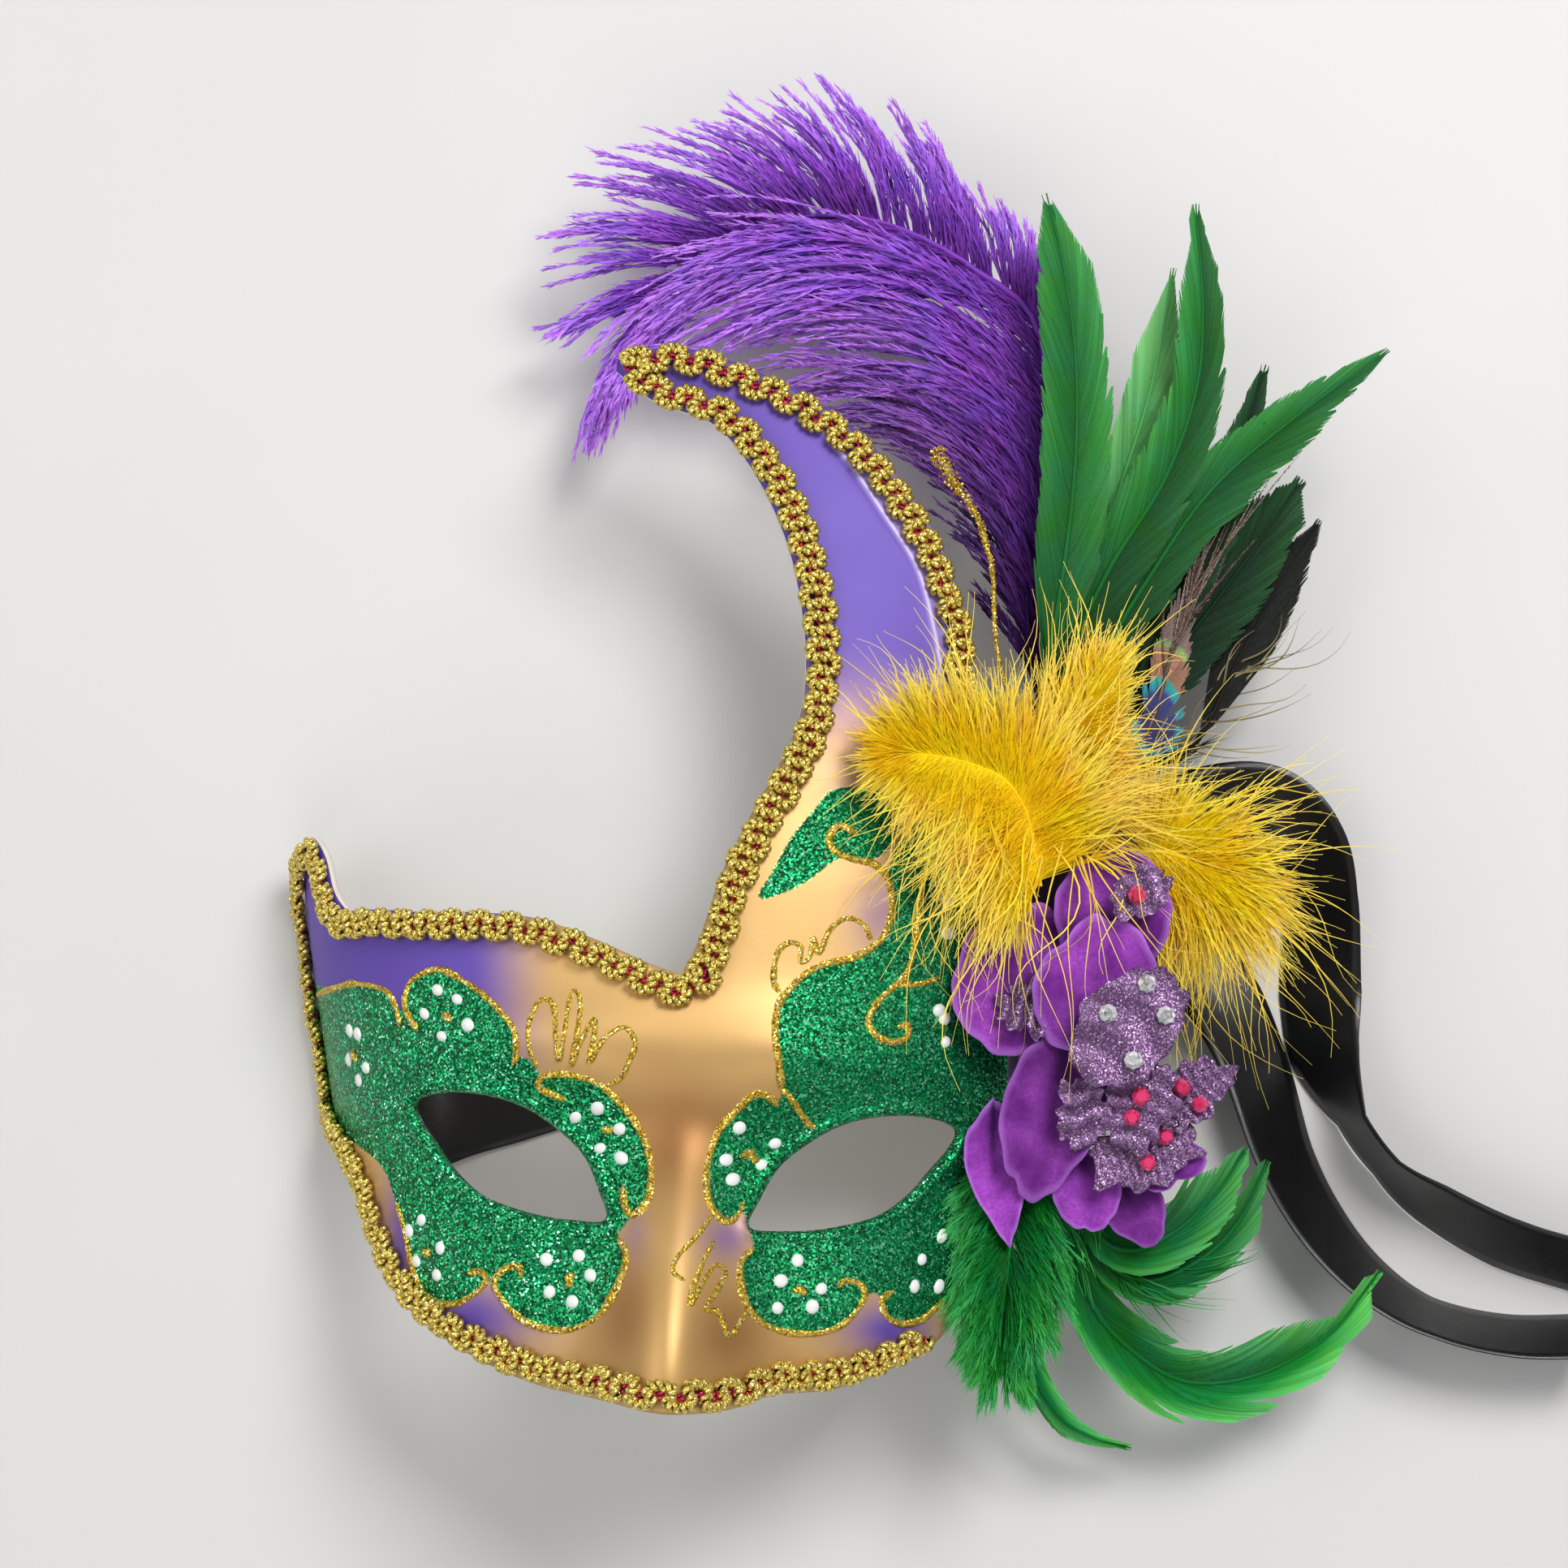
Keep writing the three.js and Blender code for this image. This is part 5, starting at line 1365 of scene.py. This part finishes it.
def gold_sprig(material):
    """A stem crusted with grains of glitter, thickest at its tip."""
    rng = seeded("gold_sprig")
    line = Line(SPRIG["spine"])
    parts = Parts()
    points, faces = tube(line.at(np.linspace(0, 1, 40)), 0.45, 6)
    parts.add(points, faces)
    octa = np.array([(1, 0, 0), (0, 1, 0), (-1, 0, 0), (0, -1, 0), (0, 0, 1), (0, 0, -1)], float)
    sides = np.array([(0, 1, 4), (1, 2, 4), (2, 3, 4), (3, 0, 4), (1, 0, 5), (2, 1, 5), (3, 2, 5), (0, 3, 5)])
    for share in rng.beta(2.6, 0.75, 420):
        spread = row_value(SPRIG["halves"], share)
        offset = unit(rng.normal(0, 1, 3)) * spread * rng.uniform(0.4, 1)
        grain = octa @ np.linalg.qr(rng.normal(0, 1, (3, 3)))[0] * rng.uniform(0.22, 0.5)
        parts.add(grain + line.at(share) + offset, sides)
    parts.made("gold_sprig_grains", material, "gold_glitter", ("gold_sprig",), smooth=False)


# Flower

# Felt pad: its sides, and how its rounded edge runs from top to underside as inset and share of the height
FELT = {"left": 67, "right": 90, "foot": 14, "top": 89, "under": 35, "over": 41}
FELT_EDGE = [(9, 1), (5, 1), (2, 1), (0.9, 0.95), (0.25, 0.8), (0, 0.5), (0.25, 0.2), (0.9, 0.05), (2, 0),
             (5, 0), (9, 0)]
FELT_SIDES = 96


def felt_pad(material):
    """A thick block of felt under the flower, fitted to the temple, with soft edges."""
    angles = np.linspace(0, 2 * math.pi, FELT_SIDES, endpoint=False)
    inset, height = np.array(FELT_EDGE).T[:, :, None]
    wide, high = (FELT["right"] - FELT["left"]) / 2 - inset, (FELT["top"] - FELT["foot"]) / 2 - inset
    x = (FELT["left"] + FELT["right"]) / 2 + wide * np.sign(np.cos(angles)) * np.abs(np.cos(angles)) ** 0.3
    y = (FELT["foot"] + FELT["top"]) / 2 + high * np.sign(np.sin(angles)) * np.abs(np.sin(angles)) ** 0.3
    z = FELT["under"] + (FELT["over"] - FELT["under"]) * height + 0.25 * np.sin(0.9 * x) * np.sin(0.6 * y)
    loops = face_clearance(np.stack([x, y, z], axis=-1), 0.5)
    middle = np.arange(FELT_SIDES)[None]
    faces = ring_faces(len(FELT_EDGE), FELT_SIDES)[:, ::-1]
    caps = [middle, middle[:, ::-1] + (len(FELT_EDGE) - 1) * FELT_SIDES]
    obj = piece("felt_pad_block", loops.reshape(-1, 3), [faces, *caps], material, "felt", ("felt_pad",))


# Petals: notches are angle from the tip, depth and spread; bend shifts the tip sideways
VELVET_PETALS = table(
    "name root tip width cup arch blunt tone bend notches",
    ("petal_1", (86, 46, 47), (88.5, 72, 50), 25, 1.6, 1, 0.5, 1.05, 0, [(24, 0.08, 14)]),
    ("petal_2", (78, 40, 43.2), (55, 47, 49), 33, 1.2, 1.5, 0.42, 1.15, 0, [(-58, 0.2, 20), (8, 0.05, 10)]),
    ("petal_3", (81, 28, 49), (87.5, 57, 52.5), 26, 1.4, 1, 0.5, 1.2, 0, [(6, 0.07, 10), (62, 0.12, 16)]),
    ("petal_4", (80, 32, 46.3), (72, -3, 46.3), 21, 1.6, 0.6, 0.5, 0.85, 0, [(-26, 0.09, 9), (58, 0.1, 12)]),
    ("petal_5", (66, 18, 42), (66, -13, 43.4), 13, 0.8, 0.6, 1.0, 1.25, 0.7, []),
    ("petal_6", (83, 8, 43), (86, -9, 43), 15, 0.8, 0.6, 0.5, 1.15, 0, [(-18, 0.12, 14)]),
    ("petal_7", (91, 4, 40.2), (99, -11, 40.4), 13, 0.6, 0.5, 0.5, 0.8, 0, [(-50, 0.1, 14)]),
    ("petal_8", (94, 4, 45), (109, 8.5, 45.5), 11, 0.8, 0.5, 0.5, 0.95, 0, [(-80, 0.3, 18)]),
)
GLITTER_PETALS = table(
    "name root tip width cup arch blunt uneven ribs crinkle",
    ("glitter_petal_1", (82, 23, 55), (100, 45, 56), 20, 0.8, 0.8, 0.5, 0.03, 3, 0.1),
    ("glitter_petal_2", (83, 9, 50.3), (81.5, 22.5, 51.3), 11, 0.4, 0.5, 0.35, 0.08, 3, 0.45),
    ("glitter_petal_3", (91.3, 9.3, 50.5), (96.5, 28, 51.5), 15, 0.4, 0.5, 0.35, 0.08, 5, 0.4),
    ("glitter_petal_4", (99, 16, 48), (112, 27, 49), 12, 0.4, 0.5, 0.35, 0.08, 8, 0.4),
    ("glitter_petal_5", (86, 4, 47.2), (107, 13, 47.4), 14, 0.4, 0.4, 0.3, 0.08, 13, 0.4),
    ("glitter_petal_6", (87, 57.5, 55.5), (98, 66, 54.5), 10, 0.4, 0.5, 0.5, 0.06, 3, 0.25),
    ("petal_tuft", (75, 34, 48.6), (64, 39, 50), 10, 0.6, 0.8, 0.4, 0.12, 4, 0.6),
)
PETAL_RINGS = 15
PETAL_SIDES = 80


def petal_spread(s, blunt):
    return 0.12 + 0.88 * np.abs(np.sin(math.pi * s**0.8)) ** blunt


def petal_surface(row, s, w):
    """A petal's middle surface: s from root to tip, w from side to side in half widths."""
    root, tip = np.array(row["root"], float), np.array(row["tip"], float)
    along = unit((tip - root) * (1, 1, 0))
    across = np.array([-along[1], along[0], 0])
    side = w + row.get("bend", 0) * (s**2 - 0.35)
    place = root + (tip - root) * s[..., None] + across * (side * row["width"] / 2)[..., None]
    place[..., 2] += row["arch"] * np.sin(math.pi * s) + row["cup"] * w**2
    return place


def petal_outline(row, angles, phase):
    """Edge of a petal in s and w, from its tip round to its tip again."""
    s = 0.5 + 0.5 * np.cos(angles)
    w = np.sign(np.sin(angles)) * np.abs(np.sin(math.pi * s**0.8)) ** row["blunt"]
    waves = sum(np.cos(k * angles + lag) for k, lag in zip((3, 5, 8, 13), phase))
    swell = 1 + row.get("uneven", 0.012) * waves
    for angle, depth, spread in row.get("notches", []):
        gap = (np.degrees(angles) - angle + 180) % 360 - 180
        swell = swell - depth * np.exp(-((gap / spread) ** 2))
    return 0.5 + (s - 0.5) * swell, w * swell


def petal(row, material, slot):
    rng = seeded(row["name"])
    phase = rng.uniform(0, 6, 4)
    angles = np.linspace(0, 2 * math.pi, PETAL_SIDES, endpoint=False)
    edge_s, edge_w = petal_outline(row, angles, phase)
    out = np.linspace(0.05, 1, PETAL_RINGS)[:, None]
    s = 0.5 + (edge_s - 0.5) * out
    w = edge_w * out
    top = petal_surface(row, s, w)
    ruffle = 0.75 * out**3 * (np.sin(3 * angles + phase[0]) + 0.7 * np.sin(5 * angles + phase[1]))
    crease = -0.5 * np.exp(-((w / 0.14) ** 2)) * smooth_step(0.9, 0.1, s)
    if "ribs" in row:
        ribs = np.sin(row["ribs"] * 2 * math.pi * s + 1.2 * np.sin(3 * w + phase[2]))
        ruffle = 0.5 * ruffle + row["crinkle"] * (ribs + 0.6 * np.sin(9 * w + 6 * s + phase[3]))
    top[..., 2] += ruffle + crease
    under = top - np.array([0, 0, PETAL_THICK])
    loops = np.concatenate([top, under[::-1]])
    faces = ring_faces(2 * PETAL_RINGS, PETAL_SIDES)
    middle = np.arange(PETAL_SIDES)[None]
    caps = [middle, middle[:, ::-1] + (2 * PETAL_RINGS - 1) * PETAL_SIDES]
    # Painted shade: along the middle crease and toward the root, and in the valleys of ribbed petals
    fold = 0.55 * np.exp(-((w / 0.2) ** 2)) * smooth_step(0.8, 0.1, s) + 0.45 * smooth_step(0.5, 0, s)
    if "ribs" in row:
        fold = np.clip(0.5 - ribs, 0, 1) * 0.7
    # Lighter rim for the velvet: partly the cut edge, partly painted sheen
    rim = np.broadcast_to(smooth_step(0.88, 1, out), s.shape)
    data = {"fold": np.concatenate([fold, fold[::-1]]).ravel(),
            "edge": np.concatenate([rim, rim[::-1]]).ravel(),
            "tone": np.full(loops.shape[0] * loops.shape[1], row.get("tone", 1.0))}
    nodes = (row["name"],) if row["name"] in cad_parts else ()
    groups = [faces[:, ::-1], *caps]
    obj = piece(row["name"] + "_cloth", loops.reshape(-1, 3), groups, material, slot, nodes, data)


# Stones: the petal under each, its place along and across that petal, and its size
STONES = table(
    "name petal along across size",
    ("rhinestone_clear_1", "glitter_petal_1", 0.8, 0.42, 4),
    ("rhinestone_clear_2", "glitter_petal_1", 0.45, 0.5, 4),
    ("rhinestone_clear_3", "glitter_petal_1", 0.72, -0.5, 4),
    ("rhinestone_clear_4", "glitter_petal_1", 0.32, -0.55, 4),
    ("rhinestone_pink_1", "glitter_petal_6", 0.4, 0, 4),
    ("rhinestone_pink_2", "glitter_petal_3", 0.55, 0, 4),
    ("rhinestone_pink_3", "glitter_petal_3", 0.31, 0.05, 3.6),
    ("rhinestone_pink_4", "glitter_petal_4", 0.4, 0.35, 4),
    ("rhinestone_pink_5", "glitter_petal_4", 0.45, -0.5, 3.6),
    ("rhinestone_pink_6", "glitter_petal_5", 0.69, 0.25, 3.6),
    ("rhinestone_pink_7", "glitter_petal_5", 0.46, -0.32, 3.6),
)


def rhinestone(row, material, slot):
    """Foil-backed stone: eight kite facets between the girdle and an eight-sided table."""
    rng = seeded(row["name"])
    radius, size = row["size"] / 2, row["size"]
    n = STONE_SIDES
    whole = np.arange(n) * math.pi / (n / 2)
    half = whole + math.pi / n
    levels = [(whole, 1.0, 0.0), (whole, 1.0, 0.14), (half, 0.84, 0.28), (whole, 0.56, 0.42)]
    rings = [np.stack([r * radius * np.cos(a), r * radius * np.sin(a), 0 * a + z * size], axis=-1)
             for a, r, z in levels]
    k = np.arange(n)
    after = (k + 1) % n
    quads = np.stack([k, after, after + n, k + n], axis=-1)
    lower = np.stack([k + n, after + n, k + 2 * n], axis=-1)
    kites = np.stack([k + n, k + 2 * n, k + 3 * n, (k - 1) % n + 2 * n], axis=-1)
    stars = np.stack([k + 2 * n, after + 3 * n, k + 3 * n], axis=-1)
    petal_row = next(entry for entry in GLITTER_PETALS if entry["name"] == row["petal"])
    step = 0.02

    def place(s, q):
        s = np.array(s)
        return petal_surface(petal_row, s, q * petal_spread(s, petal_row["blunt"]))

    forward = place(row["along"] + step, row["across"]) - place(row["along"] - step, row["across"])
    sideways = place(row["along"], row["across"] + step) - place(row["along"], row["across"] - step)
    normal = unit(np.cross(forward, sideways))
    east = unit(np.cross((0, 1, 0), normal))
    frame_axes = np.stack([east, np.cross(normal, east), normal])
    points = np.vstack(rings) @ frame_axes + place(row["along"], row["across"]) + normal * STONE_GAP
    groups = [quads, lower, kites, stars, k[None] + 3 * n, k[None, ::-1]]
    # Painted reflections: a random lightness for each facet
    facets = rng.uniform(0, 1, sum(len(group) for group in groups))
    piece(row["name"] + "_cut", points, groups, material, slot, (row["name"],), {"facet": facets},
          smooth=False)


# Satin ties

# From end to end: the ribbon's middle, its lean to the side in degrees, and its lift off the floor
ROUTE_COLUMNS = "x y lean lift"
RIBBONS = [
    {"name": "ribbon_left", "rests_on": ["ribbon_right"], "route": table(
        ROUTE_COLUMNS, (-70, 2, 40, 3), (-62, 5, 20, 2), (-52, 10, 0, 0.8), (-38, 15, 0, 0),
        (-15, 24, 0, 0), (20, 40, 0, 0), (55, 58, 0, 0), (80, 67, 0, 0), (99, 63, -4, 0), (113, 50, -14, 0),
        (123, 32, -30, 0), (131, 10, -40, 0), (140, -5, -46, 0), (151, -16, -54, 0), (164, -23, -62, 0),
        (181, -26, -62, 0), (200, -25, -62, 0))},
    {"name": "ribbon_right", "rests_on": ["mask_shell"], "route": table(
        ROUTE_COLUMNS, (84, 72, 8, 13), (98, 80, 0, 14), (112, 86, 8, 12), (124, 87, 24, 8),
        (133, 80, 38, 4), (137, 68, 42, 1), (138, 47, 28, 0), (139, 33, 46, 0), (145, 19, 80, 0),
        (153, 9, 80, 0), (163, 2, 66, 0), (180, -6, 58, 0), (200, -11, 56, 0))},
]


def ribbon(row, material):
    route = row["route"]
    lean = np.radians([spot["lean"] for spot in route])
    lift = np.array([spot["lift"] for spot in route])
    rise = RIBBON_THICK * RIBBON_REST + lift + RIBBON_WIDTH / 2 * np.abs(np.sin(lean))
    middle = Line([(spot["x"], spot["y"], z) for spot, z in zip(route, rise)], fine=8)
    knots = np.linspace(0, 1, len(middle.places))
    leans = np.interp(knots, np.linspace(0, 1, len(route)), lean)
    way = unit(np.gradient(middle.places, axis=0))
    level = unit(np.stack([-way[:, 1], way[:, 0], 0 * knots], axis=-1))
    across = level * np.cos(leans)[:, None] + UP * np.sin(leans)[:, None]
    face = unit(np.cross(way, across))
    q = np.linspace(-1, 1, RIBBON_COLUMNS)
    aside = q * RIBBON_WIDTH / 2
    curl = RIBBON_CURL * (q**2 - 0.4)
    sheet = middle.places[:, None] + across[:, None] * aside[:, None] + face[:, None] * curl[:, None]
    top = sheet + face[:, None] * SATIN_THICK / 2
    under = sheet - face[:, None] * SATIN_THICK / 2
    loops = np.concatenate([top, under[:, ::-1]], axis=1)
    size = 2 * RIBBON_COLUMNS
    faces = ring_faces(len(loops), size)
    k = np.arange(RIBBON_COLUMNS - 1)
    cap = np.stack([k, k + 1, size - 2 - k, size - 1 - k], axis=-1)
    groups = [faces[:, ::-1], cap, cap[:, ::-1] + (len(loops) - 1) * size]
    wind = np.repeat(middle.lengths, size)
    side = np.tile(np.concatenate([aside, aside[::-1]]), len(loops))
    obj = piece(row["name"] + "_satin", loops.reshape(-1, 3), groups, material, "black_satin", (row["name"],),
                {"wind": wind, "side": side})


# Making the mask

paint = mask_paint()
plastic = bare_plastic()
gold_lines = glitter("gold_glitter", 0.36, GOLD_FLAKES_AND_GLINTS, 1.2, 0.65)
mask_shell(paint, plastic)
piped_lines(gold_lines)
paint_dots(white_enamel(), gold_lines)

# Dark and light thread colours: painted shade between the turns, painted highlight on them
gold_thread = metal_thread("gold_thread", rgb(150, 102, 22), rgb(255, 232, 122), 0.55)
red_thread = metal_thread("red_thread", rgb(96, 6, 40), rgb(232, 56, 116), 0.8)
for run in BRAID_RUNS:
    braid(run, gold_thread, red_thread)

# Each feather's material: its name, the colours of a barb's root, middle and tip, how far the barbs differ in
# lightness, and the colour at the feather's foot: painted shade on the plume, darker foot on the green
# feathers
FEATHER_COLOURS = {
    "plume": ("purple_barbs", rgb(92, 36, 134), rgb(150, 80, 208), rgb(200, 134, 246), 0.3, rgb(46, 8, 70)),
    "yellow": ("yellow_barbs", rgb(240, 200, 0), rgb(242, 204, 2), rgb(248, 222, 100), 0.18),
    "low_green": ("lower_green_down", rgb(0, 86, 28), rgb(0, 126, 44), rgb(72, 188, 92), 0.3),
    "hackle": ("lower_green_barbs", rgb(0, 82, 28), rgb(8, 112, 44), rgb(82, 176, 88), 0.28),
    "black": ("black_barbs", rgb(12, 14, 10), rgb(22, 26, 18), rgb(150, 138, 98), 0.3),
    "green": ("green_barbs", rgb(18, 86, 32), rgb(26, 108, 42), rgb(56, 136, 62), 0.2, rgb(8, 54, 18)),
    "light_green": ("light_green_barbs", rgb(60, 134, 68), rgb(88, 160, 88), rgb(116, 184, 110), 0.2,
                    rgb(10, 62, 24)),
    "dark_green": ("dark_green_barbs", rgb(8, 34, 14), rgb(14, 52, 22), rgb(34, 80, 42), 0.3, rgb(8, 20, 12)),
}
feather_materials = {key: feather_barbs(*colours) for key, colours in FEATHER_COLOURS.items()}
peacock_material = peacock_barbs()
for row in LOOSE_FEATHERS:
    loose_feather(row, feather_materials[row["colour"]])
for row in VANES:
    close_vane(row, feather_materials[row["colour"]])
peacock_feather(peacock_material)
gold_sprig(gold_lines)

felt_pad(felt())
petal_velvet = velvet()
# The last colour is painted shade in the valleys of the glitter petals' ribs
petal_glitter = glitter("petal_glitter", 0.26, LILAC_FLAKES_AND_GLINTS, 0.9, 0.3, rgb(70, 36, 76))
for row in VELVET_PETALS:
    petal(row, petal_velvet, "petal_velvet")
for row in GLITTER_PETALS:
    petal(row, petal_glitter, "petal_glitter")

# Dark and light facet colours: painted reflections of the cut stones
clear_glass = cut_glass("clear_glass", rgb(100, 92, 90), rgb(255, 255, 255))
pink_glass = cut_glass("pink_glass", rgb(150, 0, 40), rgb(255, 66, 128))
for row in STONES:
    clear = "clear" in row["name"]
    rhinestone(row, clear_glass if clear else pink_glass, "clear_stone" if clear else "pink_stone")

black_satin = satin()
for row in RIBBONS:
    ribbon(row, black_satin)


# Floor, lights and camera

def floor():
    reach = 3.0
    mesh = bpy.data.meshes.new("floor")
    corners = [(-reach, -reach, 0), (reach, -reach, 0), (reach, reach, 0), (-reach, reach, 0)]
    mesh.from_pydata(corners, [], [(0, 1, 2, 3)])
    mat = new_material("floor", Roughness=0.6)
    shade(mat, Base_Color=mix_colour(mat, noise(mat, 120), rgb(214, 212, 208), rgb(222, 220, 217)))
    mesh.materials.append(mat)
    obj = bpy.data.objects.new("floor", mesh)
    bpy.context.scene.collection.objects.link(obj)


def area_light(name, place, size, power):
    light = bpy.data.lights.new(name, "AREA")
    light.size = size
    light.energy = power
    obj = bpy.data.objects.new(name, light)
    obj.location = place
    obj.rotation_mode = "QUATERNION"
    obj.rotation_quaternion = (-Vector(place)).to_track_quat("-Z", "Y")
    bpy.context.scene.collection.objects.link(obj)


def camera():
    right = np.array([math.cos(CAMERA_ROLL), math.sin(CAMERA_ROLL), 0])
    ahead = np.array([-math.sin(CAMERA_ROLL), math.cos(CAMERA_ROLL), 0])
    back = -math.cos(CAMERA_ELEVATION) * ahead + math.sin(CAMERA_ELEVATION) * UP
    up = math.sin(CAMERA_ELEVATION) * ahead + math.cos(CAMERA_ELEVATION) * UP
    place = (CAMERA_TARGET + FACE_AXIS + CAMERA_DISTANCE * back) * MM
    data = bpy.data.cameras.new("camera")
    data.sensor_width = 36
    data.lens = data.sensor_width * PIXELS_PER_MM * CAMERA_DISTANCE / IMAGE_SIDE
    data.clip_start = 0.01
    obj = bpy.data.objects.new("camera", data)
    axes = Matrix([right, up, back]).transposed().to_4x4()
    obj.matrix_world = Matrix.Translation(Vector(place)) @ axes
    bpy.context.scene.collection.objects.link(obj)
    bpy.context.scene.camera = obj


floor()
area_light("key", (0.45, 0.65, 1.15), 0.6, 15)
area_light("fill", (-0.9, 0.1, 0.9), 1.0, 5)
area_light("front", (-0.1, -0.9, 0.9), 0.8, 3)
camera()

world = bpy.data.worlds.new("studio")
world.use_nodes = True
world.node_tree.nodes["Background"].inputs["Color"].default_value = (0.9, 0.93, 1.0, 1.0)
world.node_tree.nodes["Background"].inputs["Strength"].default_value = 0.28
bpy.context.scene.world = world
bpy.context.scene.view_settings.view_transform = "Standard"
